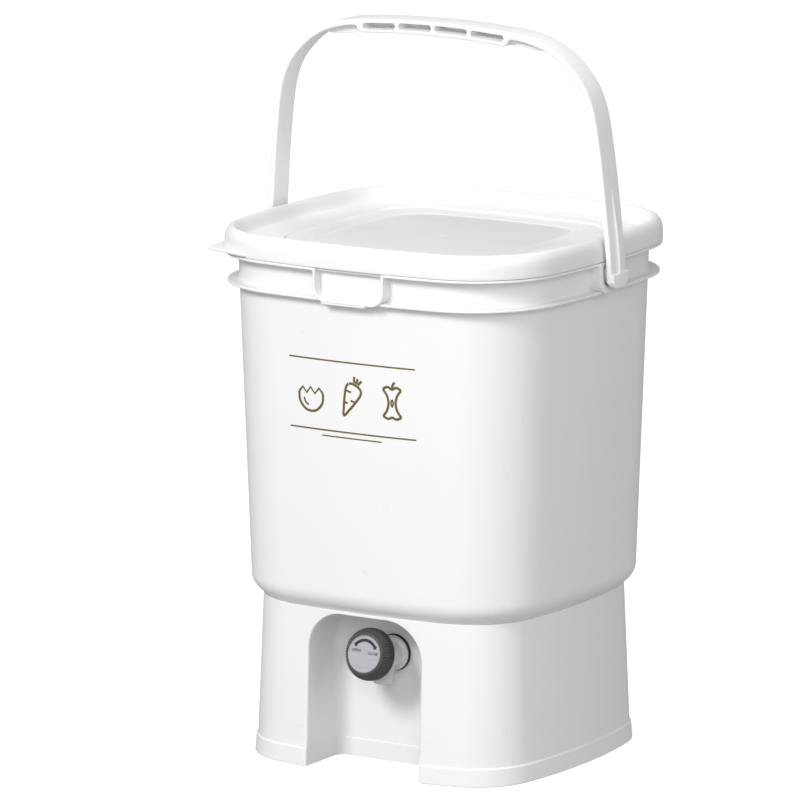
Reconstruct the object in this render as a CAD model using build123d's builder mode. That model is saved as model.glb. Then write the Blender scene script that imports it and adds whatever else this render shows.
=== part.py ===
from build123d import *
import math
import os

# Lidded kitchen composting bin: a tapered vessel with a sump, nested in an open stand
# with an arched bay for the drain tap, a snap-on lid, a swinging bail handle, a drain
# plate and a quarter-turn tap.
# Frame: Z up, front is -Y, origin on the floor at the middle of the stand. Millimetres.

# ---------------------------------------------------------------- driving dimensions
DEPTH_LESS = 3.0            # every plan is this much shallower (half-depth) than wide

# rounded-square plan of the vessel and lid, given at one width and scaled with it
VES_REF, VES_SAG, VES_R = 152.9, 16.3, 77.0
# plan of the stand
STD_REF, STD_SAG, STD_R = 134.4, 19.0, 56.0

# stand
BAND_H = 15.1
BAND_A0, BAND_A1 = 134.4, 133.3      # half-widths of the foot band, bottom and top
SKIRT_A0, SKIRT_A1 = 132.2, 127.9    # half-widths of the skirt, bottom and top
STAND_H = 131.2
STAND_T = 2.6
DECK_T = 2.8
BAY_W = 106.0                        # arched bay for a cup under the tap
BAY_TOP = STAND_H - DECK_T
BAY_R = 32.0
BAY_BACK_Y = -76.0
BAY_FRONT_R = 2.4

# vessel
WALL_T = 2.6
FOOT_R = 17.0                        # rounding where the wall turns into the shoulder
SHOULDER_A = 120.0
RIM_Z = 411.5                        # underside of the upper rib
WALL_A_TOP = 145.2
FLANGE_Z, FLANGE_T, FLANGE_A = 387.6, 2.5, 152.9
RIB_T, RIB_A = 2.4, 154.6
COLLAR_TOP, COLLAR_OUT, COLLAR_IN = 427.0, 151.6, 148.9
SUMP_X, SUMP_Y0, SUMP_Y1 = 98.0, -73.4, 100.0
SUMP_Z, SUMP_T, SUMP_R = 71.7, 2.8, 20.0
FRONT_Y = -152.0                     # front of the finger pocket, flush with the lid
POCKET_X0, POCKET_X1 = -30.0, 36.0
FRAME_X = 155.6                      # outer face of the two pivot frames

# lid
LID_Z0, LID_A = 414.8, 155.0
CREST_Z = 433.3
LEDGE_Z = 421.7
PANEL_Z = 420.2
LID_T = 1.9
LID_LIFT = 16.0

# bail handle
PIVOT_Z = 404.5
HINGE_R = 5.0
HINGE_CLEAR = 0.05
STRAP_W = 24.2
STRAP_T = 4.8
EYE_OUT_X = 165.0
HANDLE_LEAN = 2.3           # degrees forward of upright, as the handle rests
WEB_T = 8.4

# drain plate
PLATE_Z, PLATE_T, PLATE_A = 148.0, 2.4, 129.5

# tap: level spigot through both walls, stem tilted up toward the user
TAP_Z = 91.0
SPIGOT_R = 10.4
TAP_PIVOT_Y = -88.5
TAP_TILT = 12.0
SPOUT_Y = -94.0
SPOUT_R, SPOUT_BORE, SPOUT_END_Z = 8.2, 5.2, 69.3
SPOUT_LEN = 8.5             # plain end of the spout
CHAMBER_R = 7.05
SPINDLE_R = 7.0
KNOB_R = 21.3

os.makedirs("parts", exist_ok=True)


# ---------------------------------------------------------------- shared plan shapes
def plan_arcs(a, b, s, r):
    """Eight tangent arcs (start, middle, end) of a square with bowed sides: half-width a,
    half-depth b, side bow s, corner radius r."""
    r1 = (a * a + s * s) / (2 * s)
    r2 = (b * b + s * s) / (2 * s)
    c1 = (0.0, b - r1)
    c2 = (a - r2, 0.0)
    d1, d2 = r1 - r, r2 - r
    d = math.hypot(c2[0] - c1[0], c2[1] - c1[1])
    m = (d1 * d1 - d2 * d2 + d * d) / (2 * d)
    h = math.sqrt(max(d1 * d1 - m * m, 0.0))
    ex, ey = (c2[0] - c1[0]) / d, (c2[1] - c1[1]) / d
    p = (c1[0] + m * ex, c1[1] + m * ey)
    cands = [(p[0] - h * ey, p[1] + h * ex), (p[0] + h * ey, p[1] - h * ex)]
    c = max(cands, key=lambda q: q[0] + q[1])
    t1 = math.atan2(c[1] - c1[1], c[0] - c1[0])
    t2 = math.atan2(c[1] - c2[1], c[0] - c2[0])

    def on(cc, rr, t):
        return (cc[0] + rr * math.cos(t), cc[1] + rr * math.sin(t))

    pa = on(c1, r1, t1)              # where the far side meets the corner
    pb = on(c2, r2, t2)              # where the right side meets the corner
    pm = on(c, r, (t1 + t2) / 2)
    return [
        ((-pa[0], pa[1]), (0, b), pa),
        (pa, pm, pb),
        (pb, (a, 0), (pb[0], -pb[1])),
        ((pb[0], -pb[1]), (pm[0], -pm[1]), (pa[0], -pa[1])),
        ((pa[0], -pa[1]), (0, -b), (-pa[0], -pa[1])),
        ((-pa[0], -pa[1]), (-pm[0], -pm[1]), (-pb[0], -pb[1])),
        ((-pb[0], -pb[1]), (-a, 0), (-pb[0], pb[1])),
        ((-pb[0], pb[1]), (-pm[0], pm[1]), (-pa[0], pa[1])),
    ]


def bowed_square(a, b, s, r):
    with BuildSketch() as plan:
        with BuildLine():
            for p0, pm, p1 in plan_arcs(a, b, s, r):
                ThreePointArc(p0, pm, p1)
        make_face()
    return plan.sketch


def vessel_plan(a):
    k = a / VES_REF
    return bowed_square(a, a - DEPTH_LESS, VES_SAG * k, VES_R * k)


def stand_plan(a):
    k = a / STD_REF
    return bowed_square(a, a - DEPTH_LESS, STD_SAG * k, STD_R * k)


def panel_plan(a):
    """Tighter-cornered square of the lid's sunken middle."""
    k = a / 106.0
    return bowed_square(a, a - 1.0, 5.0 * k, 36.0 * k)


def wall_a(z):
    """Half-width of the vessel's straight outer wall at height z."""
    z0 = STAND_H + FOOT_R
    a0 = SHOULDER_A + FOOT_R
    return a0 + (WALL_A_TOP - a0) * (z - z0) / (RIM_Z - z0)


def foot_levels(r, steps=6):
    """(height, half-width) pairs up the rounded foot, centred like the outer one."""
    zc = STAND_H + FOOT_R
    out = []
    for i in range(steps + 1):
        t = math.radians(90.0 * i / steps)
        out.append((zc - r * math.cos(t), SHOULDER_A + r * math.sin(t)))
    return out


# ---------------------------------------------------------------- stand
with BuildPart() as stand_hollow:        # inside of the skirt, less the bay's shell
    for zz, aa in ((-1.0, SKIRT_A0 - STAND_T + 0.03), (STAND_H - DECK_T, SKIRT_A1 - STAND_T + 0.1)):
        with BuildSketch(Plane.XY.offset(zz)):
            add(stand_plan(aa))
    loft(ruled=True)
    with BuildSketch(Plane.XZ.offset(150.0)):
        with Locations((0, (BAY_TOP + STAND_T - 10.0) / 2)):
            Rectangle(BAY_W + 2 * STAND_T, BAY_TOP + STAND_T + 10.0)
        fillet(vertices().group_by(Axis.Y)[-1], BAY_R + STAND_T)
    extrude(amount=-(150.0 + BAY_BACK_Y + STAND_T), mode=Mode.SUBTRACT)

with BuildPart() as bay_void:
    with BuildSketch(Plane.XZ.offset(150.0)):
        with Locations((0, (BAY_TOP - 10.0) / 2)):
            Rectangle(BAY_W, BAY_TOP + 10.0)
        fillet(vertices().group_by(Axis.Y)[-1], BAY_R)
    extrude(amount=-(150.0 + BAY_BACK_Y))
    back = faces().sort_by(Axis.Y)[-1]
    fillet([e for e in back.edges() if e.center().Z > 0.0], 9.0)

with BuildPart() as stand:
    levels = [(0.0, BAND_A0 - 0.8), (0.8, BAND_A0), (BAND_H - 0.6, BAND_A1 + 0.05), (BAND_H, BAND_A1 - 0.5)]
    for zz, aa in levels:
        with BuildSketch(Plane.XY.offset(zz)):
            add(stand_plan(aa))
    loft(ruled=True)
    levels = [(BAND_H, SKIRT_A0), (STAND_H - 2.0, SKIRT_A1 + 0.07), (STAND_H - 1.2, SKIRT_A1 - 0.2),
              (STAND_H - 0.4, SKIRT_A1 - 0.9), (STAND_H, SKIRT_A1 - 2.0)]
    for zz, aa in levels:
        with BuildSketch(Plane.XY.offset(zz)):
            add(stand_plan(aa))
    loft(ruled=True)
    add(stand_hollow.part, mode=Mode.SUBTRACT)
    add(bay_void.part, mode=Mode.SUBTRACT)
    # opening in the deck that the sump drops through
    with BuildSketch(Plane.XY.offset(STAND_H + 1.0)):
        with Locations((0, (SUMP_Y0 + SUMP_Y1) / 2)):
            Rectangle(2 * SUMP_X, SUMP_Y1 - SUMP_Y0)
        fillet(vertices().group_by(Axis.Y)[-1], SUMP_R)
    extrude(amount=-(DECK_T + 2.0), mode=Mode.SUBTRACT)
    # holes for the vessel's locating pegs
    with BuildSketch(Plane.XY.offset(STAND_H + 1.0)):
        with Locations((112, 45), (-112, 45), (112, -45), (-112, -45)):
            Circle(3.25)
    extrude(amount=-(DECK_T + 2.0), mode=Mode.SUBTRACT)
    # foot band carried across the back of the bay
    with BuildSketch(Plane.XZ.offset(-(BAY_BACK_Y) + 0.8)):
        with Locations((0, BAND_H / 2)):
            Rectangle(BAY_W - 16.0, BAND_H)
    extrude(amount=-1.6)
    # hole for the tap
    with BuildSketch(Plane.XZ.offset(82.0)):
        with Locations((0, TAP_Z)):
            Circle(SPIGOT_R + 0.4)
    extrude(amount=-12.0, mode=Mode.SUBTRACT)
    # stiffening ribs under the deck
    for sx in (-1, 1):
        for yy in (-78.0, 0.0, 78.0):
            with BuildSketch(Plane.XZ.offset(-yy - 1.0)):
                with BuildLine():
                    Polyline((sx * 102.0, BAY_TOP + 0.5), (sx * (123.0 if yy == 0 else 119.0), BAY_TOP + 0.5),
                             (sx * (124.0 if yy == 0 else 120.0), BAY_TOP - 40.0), (sx * 102.0, BAY_TOP - 6.0), close=True)
                make_face()
            extrude(amount=-2.0)
stand.part.label = "stand"

# ---------------------------------------------------------------- vessel
with BuildPart() as vessel:
    for zz, aa in foot_levels(FOOT_R) + [(RIM_Z, WALL_A_TOP)]:
        with BuildSketch(Plane.XY.offset(zz)):
            add(vessel_plan(aa))
    loft(ruled=True)
    # lower flange and upper rib, each a thin ledge with an eased edge
    for z0, t, aa in ((FLANGE_Z, FLANGE_T, FLANGE_A), (RIM_Z, RIB_T, RIB_A)):
        for zz, av in ((z0, aa - 0.5), (z0 + 0.5, aa), (z0 + t - 0.5, aa), (z0 + t, aa - 0.5)):
            with BuildSketch(Plane.XY.offset(zz)):
                add(vessel_plan(av))
        loft(ruled=True)
    # finger pocket: the rib is cut away between two uprights
    with BuildSketch(Plane.XZ.offset(160.0)):
        with Locations(((POCKET_X0 + POCKET_X1) / 2, (FLANGE_Z + FLANGE_T + RIM_Z + 5) / 2)):
            Rectangle(POCKET_X1 - POCKET_X0 - 4.0, RIM_Z + 5 - FLANGE_Z - FLANGE_T)
    extrude(amount=-(160.0 - 142.8), mode=Mode.SUBTRACT)
    # pocket frame: a U with rounded lower corners, open upward
    with BuildSketch(Plane.XZ.offset(-FRONT_Y)):
        with Locations(((POCKET_X0 + POCKET_X1) / 2, (FLANGE_Z - 1.8 + RIM_Z + RIB_T) / 2)):
            Rectangle(POCKET_X1 - POCKET_X0, RIM_Z + RIB_T - FLANGE_Z + 1.8)
        fillet(vertices().group_by(Axis.Y)[0], 13.0)
    extrude(amount=-(-FRONT_Y - 141.0))
    with BuildSketch(Plane.XZ.offset(-FRONT_Y + 1.0)):
        with Locations(((POCKET_X0 + POCKET_X1) / 2, (FLANGE_Z + 0.6 + RIM_Z + 10.0) / 2)):
            Rectangle(POCKET_X1 - POCKET_X0 - 4.8, RIM_Z + 10.0 - FLANGE_Z - 0.6)
        fillet(vertices().group_by(Axis.Y)[0], 10.6)
    extrude(amount=-(-FRONT_Y + 1.0 - 142.8), mode=Mode.SUBTRACT)
    # collar that the lid closes over, with the ledge that carries it
    for zz, aa in ((RIM_Z + 0.4, COLLAR_OUT), (COLLAR_TOP - 0.7, COLLAR_OUT), (COLLAR_TOP, COLLAR_OUT - 0.7)):
        with BuildSketch(Plane.XY.offset(zz)):
            add(vessel_plan(aa))
    loft(ruled=True)
    # pivot frames and bosses, one each side
    for sx in (1, -1):
        side = Plane(origin=(sx * FRAME_X, 0, 0), x_dir=(0, sx, 0), z_dir=(sx, 0, 0))
        with BuildSketch(side):
            with Locations((0, (FLANGE_Z + RIM_Z + RIB_T) / 2)):
                Rectangle(34.0, RIM_Z + RIB_T - FLANGE_Z)
            fillet(vertices().group_by(Axis.Y)[0], 13.0)
        extrude(amount=-12.0)
        with BuildSketch(side.offset(1.0)):
            with Locations((0, (FLANGE_Z + 2.4 + RIM_Z) / 2)):
                Rectangle(29.2, RIM_Z - FLANGE_Z - 2.4)
            fillet(vertices().group_by(Axis.Y)[0], 10.6)
        extrude(amount=-(FRAME_X + 1.0 - 145.6), mode=Mode.SUBTRACT)
        with BuildSketch(side):
            with Locations((0, PIVOT_Z)):
                Circle(8.2)
        extrude(amount=-12.0)
        with BuildSketch(side.offset(1.0)):
            with Locations((0, PIVOT_Z)):
                Circle(HINGE_R + HINGE_CLEAR)
        extrude(amount=-9.6, mode=Mode.SUBTRACT)
    # sump below the shoulder, and the locating pegs
    with BuildSketch(Plane.XY.offset(SUMP_Z)):
        with Locations((0, (SUMP_Y0 + SUMP_Y1) / 2)):
            Rectangle(2 * SUMP_X, SUMP_Y1 - SUMP_Y0)
        fillet(vertices().group_by(Axis.Y)[-1], SUMP_R)
        fillet(vertices().group_by(Axis.Y)[0], 6.0)
    extrude(amount=STAND_H + 1.0 - SUMP_Z)
    with BuildSketch(Plane.XY.offset(STAND_H + 1.0)):
        with Locations((112, 45), (-112, 45), (112, -45), (-112, -45)):
            Circle(3.0)
    extrude(amount=-7.5)
    # hollow of the vessel, of the collar and of the sump
    inner = foot_levels(FOOT_R - WALL_T - 0.2)
    for zz, aa in inner + [(RIM_Z + RIB_T, WALL_A_TOP - WALL_T)]:
        with BuildSketch(Plane.XY.offset(zz)):
            add(vessel_plan(aa))
    loft(ruled=True, mode=Mode.SUBTRACT)
    for zz, aa in ((RIM_Z + RIB_T, COLLAR_IN), (COLLAR_TOP + 1.0, COLLAR_IN)):
        with BuildSketch(Plane.XY.offset(zz)):
            add(vessel_plan(aa))
    loft(ruled=True, mode=Mode.SUBTRACT)
    with BuildSketch(Plane.XY.offset(SUMP_Z + SUMP_T)):
        with Locations((0, (SUMP_Y0 + SUMP_Y1) / 2)):
            Rectangle(2 * (SUMP_X - SUMP_T), SUMP_Y1 - SUMP_Y0 - 2 * SUMP_T)
        fillet(vertices().group_by(Axis.Y)[-1], SUMP_R - SUMP_T)
        fillet(vertices().group_by(Axis.Y)[0], 3.2)
    extrude(amount=STAND_H + 6.0 - SUMP_Z - SUMP_T, mode=Mode.SUBTRACT)
    with BuildSketch(Plane.XZ.offset(80.0)):
        with Locations((0, TAP_Z)):
            Circle(SPIGOT_R + 0.4)
    extrude(amount=-14.0, mode=Mode.SUBTRACT)
vessel.part.label = "bucket"

# ---------------------------------------------------------------- lid
with BuildPart() as lid_core:            # tray of the lid, thickened downward: kept material
    for zz, aa in ((LEDGE_Z - LID_T, 142.4), (LEDGE_Z + 1.0, 144.6), (427.0, 146.9), (431.0, 148.8), (436.0, 150.6)):
        with BuildSketch(Plane.XY.offset(zz)):
            add(vessel_plan(aa))
    loft(ruled=True)
    with BuildSketch(Plane.XY.offset(PANEL_Z - LID_T)):
        add(panel_plan(107.5))
    extrude(amount=3.0)

with BuildPart() as lid_under:           # space inside the skirt, around the tray
    for zz, aa in ((410.0, LID_A - 2.5), (430.2, LID_A - 2.7), (431.0, LID_A - 3.5)):
        with BuildSketch(Plane.XY.offset(zz)):
            add(vessel_plan(aa))
    loft(ruled=True)
    add(lid_core.part, mode=Mode.SUBTRACT)

with BuildPart() as lid_tray:            # hollow of the tray, from above
    for zz, aa in ((LEDGE_Z, 139.6), (LEDGE_Z + 0.7, 141.3), (LEDGE_Z + 2.2, 142.7), (427.0, 144.4),
                   (430.5, 145.9), (432.3, 147.1), (433.0, 148.2), (434.0, 150.4)):
        with BuildSketch(Plane.XY.offset(zz)):
            add(vessel_plan(aa))
    loft(ruled=True)
    for zz, aa in ((LEDGE_Z + 0.3, 107.0), (LEDGE_Z - 0.5, 105.6), (PANEL_Z, 90.0)):
        with BuildSketch(Plane.XY.offset(zz)):
            add(panel_plan(aa))
    loft(ruled=True)

with BuildPart() as lid:
    outer = [(LID_Z0, LID_A - 0.5), (LID_Z0 + 0.6, LID_A), (424.0, LID_A - 0.2), (427.5, LID_A - 0.9),
             (430.0, LID_A - 2.0), (431.8, LID_A - 3.3), (432.9, LID_A - 4.8), (CREST_Z, LID_A - 6.2)]
    for zz, aa in outer:
        with BuildSketch(Plane.XY.offset(zz)):
            add(vessel_plan(aa))
    loft(ruled=True)
    # pull tab that squares off the front left corner
    with BuildSketch(Plane.XY.offset(LID_Z0 + 0.6)):
        with BuildLine():
            Polyline((-150.0, -86.0), (-141.8, -132.2), (-96.0, -148.0), (-80.0, -120.0), (-120.0, -80.0), close=True)
        make_face()
        tip = vertices().sort_by_distance((-141.8, -132.2, LID_Z0 + 0.6))[0]
        fillet(tip, 5.0)
    extrude(amount=2.4)
    add(lid_under.part, mode=Mode.SUBTRACT)
    add(lid_tray.part, mode=Mode.SUBTRACT)
lid.part.label = "lid"

with BuildPart() as lid_seal:
    with BuildSketch(Plane.XY.offset(COLLAR_TOP + 0.4)):
        add(vessel_plan(151.3))
    extrude(amount=3.6)
    with BuildSketch(Plane.XY.offset(COLLAR_TOP + 0.4)):
        add(vessel_plan(149.2))
    extrude(amount=3.6, mode=Mode.SUBTRACT)
lid_seal.part.label = "lid_seal"

# ---------------------------------------------------------------- bail handle
# Outer edge of the strap in the handle's own upright plane: half-width, height.
STRAP = [(162.5, 398.0), (161.8, 422.0), (159.6, 447.0), (156.6, 480.0), (152.7, 512.0), (148.3, 536.0),
         (140.9, 554.0), (129.4, 568.5), (111.8, 582.3), (87.0, 591.3), (54.0, 594.8), (18.0, 596.2), (0.0, 596.3)]
lean = math.radians(HANDLE_LEAN)
up = (0, -math.sin(lean), math.cos(lean))
rear = (0, math.cos(lean), math.sin(lean))
BAIL = Plane(origin=(0, 0, PIVOT_Z), x_dir=(1, 0, 0), z_dir=(0, -rear[1], -rear[2]))


def bail(x, z):
    """Point of the handle's plane, its height given as if the handle stood upright."""
    return (x, z - PIVOT_Z)


def bail_side(sx, x):
    """Plane square to the pivot axis at the distance x, on the side sx."""
    return Plane(origin=(sx * x, 0, PIVOT_Z), x_dir=(0, sx * rear[1], sx * rear[2]), z_dir=(sx, 0, 0))


with BuildPart() as handle:
    pts = [bail(x, z) for x, z in STRAP] + [bail(-x, z) for x, z in reversed(STRAP[:-1])]
    with BuildSketch(BAIL.offset(STRAP_W / 2)):
        with BuildLine():
            outer_edge = Spline(*pts, tangents=[(-0.03, 1), (-0.03, -1)])
            n = 72
            inner_pts = []
            for i in range(n + 1):
                u = i / n
                p = outer_edge @ u
                t = outer_edge % u
                px, pz, tx, tz = p.X, p.Y, t.X, t.Y
                inner_pts.append((px - STRAP_T * tz, pz + STRAP_T * tx))
            inner_edge = Spline(*inner_pts)
            Line(outer_edge @ 0, inner_edge @ 0)
            Line(outer_edge @ 1, inner_edge @ 1)
        make_face()
    extrude(amount=-STRAP_W)
    # grip: a deeper bar under the crown
    with BuildSketch(BAIL.offset(STRAP_W / 2 - 0.3)):
        with BuildLine():
            ThreePointArc(bail(-72.0, 590.5), bail(0, 593.6), bail(72.0, 590.5))
            Line(bail(72.0, 590.5), bail(68.6, 582.3))
            ThreePointArc(bail(68.6, 582.3), bail(0, 585.5), bail(-68.6, 582.3))
            Line(bail(-68.6, 582.3), bail(-72.0, 590.5))
        make_face()
        fillet(vertices().group_by(Axis.Y)[0], 3.0)
    extrude(amount=-(STRAP_W - 0.6))
    # narrower web that carries the grip's lower edge out to the strap on both sides
    with BuildSketch(BAIL.offset(WEB_T / 2)):
        with BuildLine():
            ThreePointArc(bail(-116.0, 575.6), bail(0, 585.3), bail(116.0, 575.6))
            Line(bail(116.0, 575.6), bail(111.5, 579.2))
            Line(bail(111.5, 579.2), bail(86.0, 588.6))
            Line(bail(86.0, 588.6), bail(54.0, 592.2))
            Line(bail(54.0, 592.2), bail(-54.0, 592.2))
            Line(bail(-54.0, 592.2), bail(-86.0, 588.6))
            Line(bail(-86.0, 588.6), bail(-111.5, 579.2))
            Line(bail(-111.5, 579.2), bail(-116.0, 575.6))
        make_face()
    extrude(amount=-WEB_T)
    # four finger recesses in the front of the grip and four in the back
    for xc, zc, ang in ((-51.0, 589.2, 3.6), (-17.0, 590.9, 1.2), (17.0, 590.9, -1.2), (51.0, 589.2, -3.6)):
        for d0, sign in ((STRAP_W / 2 + 1.0, -1), (-STRAP_W / 2 - 1.0, 1)):
            with BuildSketch(BAIL.offset(d0)):
                with Locations(Location((xc, zc - PIVOT_Z, 0), (0, 0, ang))):
                    RectangleRounded(31.2, 5.4, 1.3)
            extrude(amount=sign * (STRAP_W / 2 + 1.0 - WEB_T / 2), mode=Mode.SUBTRACT)
    for sx in (1, -1):
        # thick rounded eye at the pivot
        with BuildSketch(bail_side(sx, EYE_OUT_X)):
            Circle(STRAP_W / 2)
            with Locations((0, 6.0)):
                Rectangle(STRAP_W, 12.0, mode=Mode.SUBTRACT)
            with Locations((0, 0.3)):
                Rectangle(STRAP_W, 0.6)
        extrude(amount=-(EYE_OUT_X - 157.5))
        # tapering rib down the middle of the outer face
        with BuildSketch(BAIL.offset(1.5)):
            with BuildLine():
                Polyline(bail(sx * 156.6, 470.0), bail(sx * 158.8, 461.0), bail(sx * 162.9, 425.0), bail(sx * 164.8, 405.0),
                         bail(sx * 160.0, 405.0), bail(sx * 158.9, 430.0), close=True)
            make_face()
        extrude(amount=-3.0)
        # blind socket for the pivot pin
        with BuildSketch(bail_side(sx, 157.0)):
            Circle(HINGE_R)
        extrude(amount=EYE_OUT_X - 2.6 - 157.0, mode=Mode.SUBTRACT)
handle.part.label = "handle"

# pivot pins: seated in the eyes, turning in the vessel's bosses
with BuildPart() as pin_right:
    with BuildSketch(bail_side(1, 147.6)):
        Circle(HINGE_R)
    extrude(amount=EYE_OUT_X - 2.6 - 147.6)
    with BuildSketch(bail_side(1, FRAME_X + 0.4)):            # collar that spaces the eye off the boss
        Circle(7.4)
    extrude(amount=157.1 - FRAME_X - 0.4)
    chamfer(edges().filter_by(GeomType.CIRCLE).sort_by(Axis.X)[0], 0.5)
pin_right.part.label = "pivot_pin_right"

with BuildPart() as pin_left:
    with BuildSketch(bail_side(-1, 147.6)):
        Circle(HINGE_R)
    extrude(amount=EYE_OUT_X - 2.6 - 147.6)
    with BuildSketch(bail_side(-1, FRAME_X + 0.4)):
        Circle(7.4)
    extrude(amount=157.1 - FRAME_X - 0.4)
    chamfer(edges().filter_by(GeomType.CIRCLE).sort_by(Axis.X)[-1], 0.5)
pin_left.part.label = "pivot_pin_left"

# ---------------------------------------------------------------- drain plate
with BuildPart() as strainer:
    for zz, aa in ((PLATE_Z, PLATE_A), (PLATE_Z + PLATE_T, PLATE_A)):
        with BuildSketch(Plane.XY.offset(zz)):
            add(vessel_plan(aa))
    loft(ruled=True)
    with BuildSketch(Plane.XY.offset(PLATE_Z + PLATE_T + 1)):
        with GridLocations(19.0, 19.0, 11, 11):
            Circle(2.6)
    extrude(amount=-(PLATE_T + 2), mode=Mode.SUBTRACT)
    with BuildSketch(Plane.XY.offset(PLATE_Z)):
        with Locations((0, 9.5), (0, -28.5), (0, 47.5)):
            Rectangle(176.0, 2.2)
        with Locations((9.5, 12.0), (-47.5, 12.0), (66.5, 12.0)):
            Rectangle(2.2, 150.0)
    extrude(amount=-7.0)
    with BuildSketch(Plane.XY.offset(PLATE_Z)):
        with Locations((108, 9.5), (-108, 9.5), (104.5, 66.5), (-104.5, 66.5), (104.5, -66.5), (-104.5, -66.5),
                       (47.5, -95), (-47.5, -95), (47.5, 108), (-47.5, 108)):
            Circle(4.0)
    extrude(amount=-(PLATE_Z - (STAND_H + WALL_T + 0.2)))
strainer.part.label = "strainer_plate"

# ---------------------------------------------------------------- tap
tilt = math.radians(TAP_TILT)
STEM = Plane(origin=(0, TAP_PIVOT_Y, TAP_Z), x_dir=(1, 0, 0), z_dir=(0, -math.cos(tilt), math.sin(tilt)))
GASKET_T = 2.8
FLANGE_FACE = BAY_BACK_Y - GASKET_T          # back of the tap's flange
WASHER_Y = SUMP_Y0 + SUMP_T                  # inside face of the sump's front wall

with BuildPart() as tap_gasket:
    with BuildSketch(Plane.XZ.offset(-FLANGE_FACE)):
        with Locations((0, TAP_Z)):
            Circle(15.5)
            Circle(SPIGOT_R + 0.1, mode=Mode.SUBTRACT)
    extrude(amount=-GASKET_T)
tap_gasket.part.label = "tap_gasket"

with BuildPart() as tap_body:
    with BuildSketch(Plane.XZ.offset(-WASHER_Y - 17.0)):      # threaded spigot through both walls
        with Locations((0, TAP_Z)):
            Circle(SPIGOT_R)
    extrude(amount=17.0 - (FLANGE_FACE - WASHER_Y))
    with BuildSketch(Plane.XZ.offset(-FLANGE_FACE)):          # flange
        with Locations((0, TAP_Z)):
            Circle(14.4)
    extrude(amount=3.6)
    with BuildSketch(Plane.XZ.offset(-FLANGE_FACE)):          # neck
        with Locations((0, TAP_Z)):
            Circle(11.0)
    extrude(amount=-(TAP_PIVOT_Y + 1.0) + FLANGE_FACE)
    with BuildSketch(STEM.offset(-4.5)):                      # tilted barrel
        Circle(11.3)
    extrude(amount=23.5)
    with BuildSketch(Plane.XY.offset(SPOUT_END_Z)):           # spout
        with Locations((0, SPOUT_Y)):
            Circle(SPOUT_R)
    extrude(amount=SPOUT_LEN)
    with BuildSketch(Plane.XY.offset(SPOUT_END_Z + SPOUT_LEN)):
        with Locations((0, SPOUT_Y)):
            Circle(SPOUT_R + 0.7)
    extrude(amount=TAP_Z - SPOUT_END_Z - SPOUT_LEN)
    # passages: level inlet, valve chamber, outlet
    with BuildSketch(Plane.XZ.offset(-WASHER_Y - 18.0)):
        with Locations((0, TAP_Z)):
            Circle(5.8)
    extrude(amount=18.0 - (TAP_PIVOT_Y + 1.5 - WASHER_Y), mode=Mode.SUBTRACT)
    with BuildSketch(STEM.offset(-2.4)):
        Circle(CHAMBER_R)
    extrude(amount=22.0, mode=Mode.SUBTRACT)
    with BuildSketch(Plane.XY.offset(SPOUT_END_Z - 1.0)):
        with Locations((0, SPOUT_Y)):
            Circle(SPOUT_BORE)
    extrude(amount=TAP_Z - SPOUT_END_Z + 1.0, mode=Mode.SUBTRACT)
tap_body.part.label = "tap_body"

with BuildPart() as tap_washer:
    with BuildSketch(Plane.XZ.offset(-WASHER_Y)):
        with Locations((0, TAP_Z)):
            Circle(15.4)
            Circle(SPIGOT_R + 0.1, mode=Mode.SUBTRACT)
    extrude(amount=-2.0)
tap_washer.part.label = "tap_washer"

with BuildPart() as tap_nut:
    with BuildSketch(Plane.XZ.offset(-WASHER_Y - 2.0)):
        with Locations((0, TAP_Z)):
            RegularPolygon(15.8, 6)
    extrude(amount=-8.0)
    with BuildSketch(Plane.XZ.offset(-WASHER_Y - 1.0)):
        with Locations((0, TAP_Z)):
            Circle(SPIGOT_R + 0.05)
    extrude(amount=-10.0, mode=Mode.SUBTRACT)
    chamfer(edges().filter_by(GeomType.CIRCLE), 0.6)
tap_nut.part.label = "tap_nut"

with BuildPart() as bonnet_nut:
    with BuildSketch(STEM.offset(14.6)):
        RegularPolygon(14.2, 8)
    extrude(amount=7.2)
    with BuildSketch(STEM.offset(14.0)):
        Circle(11.4)
    extrude(amount=5.1, mode=Mode.SUBTRACT)
    with BuildSketch(STEM.offset(18.5)):
        Circle(4.65)
    extrude(amount=6.0, mode=Mode.SUBTRACT)
bonnet_nut.part.label = "bonnet_nut"

with BuildPart() as spindle:
    with BuildSketch(STEM.offset(-2.2)):
        Circle(SPINDLE_R)
    extrude(amount=21.1)
    with BuildSketch(STEM.offset(18.5)):
        Circle(4.6)
    extrude(amount=6.5)
    with BuildSketch(STEM.offset(24.5)):                      # flats that drive the knob
        Rectangle(6.4, 6.4)
    extrude(amount=5.7)
    for d in (11.4, 15.4):                                    # seal grooves
        with BuildSketch(STEM.offset(d)):
            Circle(SPINDLE_R + 1)
            Circle(5.55, mode=Mode.SUBTRACT)
        extrude(amount=1.7, mode=Mode.SUBTRACT)
    with BuildSketch(STEM.offset(-3.0)):                      # waterway along the axis
        Circle(4.2)
    extrude(amount=12.5, mode=Mode.SUBTRACT)
    port = Plane(origin=(0, SPOUT_Y, TAP_Z + (TAP_PIVOT_Y - SPOUT_Y) * math.tan(tilt)), x_dir=(0, 0, 1), z_dir=(-1, 0, 0))
    with BuildSketch(port):                                   # side port, turned away: closed
        Circle(4.0)
    extrude(amount=9.0, mode=Mode.SUBTRACT)
    with BuildSketch(STEM.offset(31.0)):                      # pilot for the knob screw
        Circle(1.62)
    extrude(amount=-11.0, mode=Mode.SUBTRACT)
spindle.part.label = "spindle"

with BuildPart() as spindle_seals:
    for d in (11.4, 15.4):
        with BuildSketch(STEM.offset(d + 0.15)):
            Circle(SPINDLE_R + 0.02)
            Circle(5.58, mode=Mode.SUBTRACT)
        extrude(amount=1.4)
spindle_seals.part.label = "spindle_seals"

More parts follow.
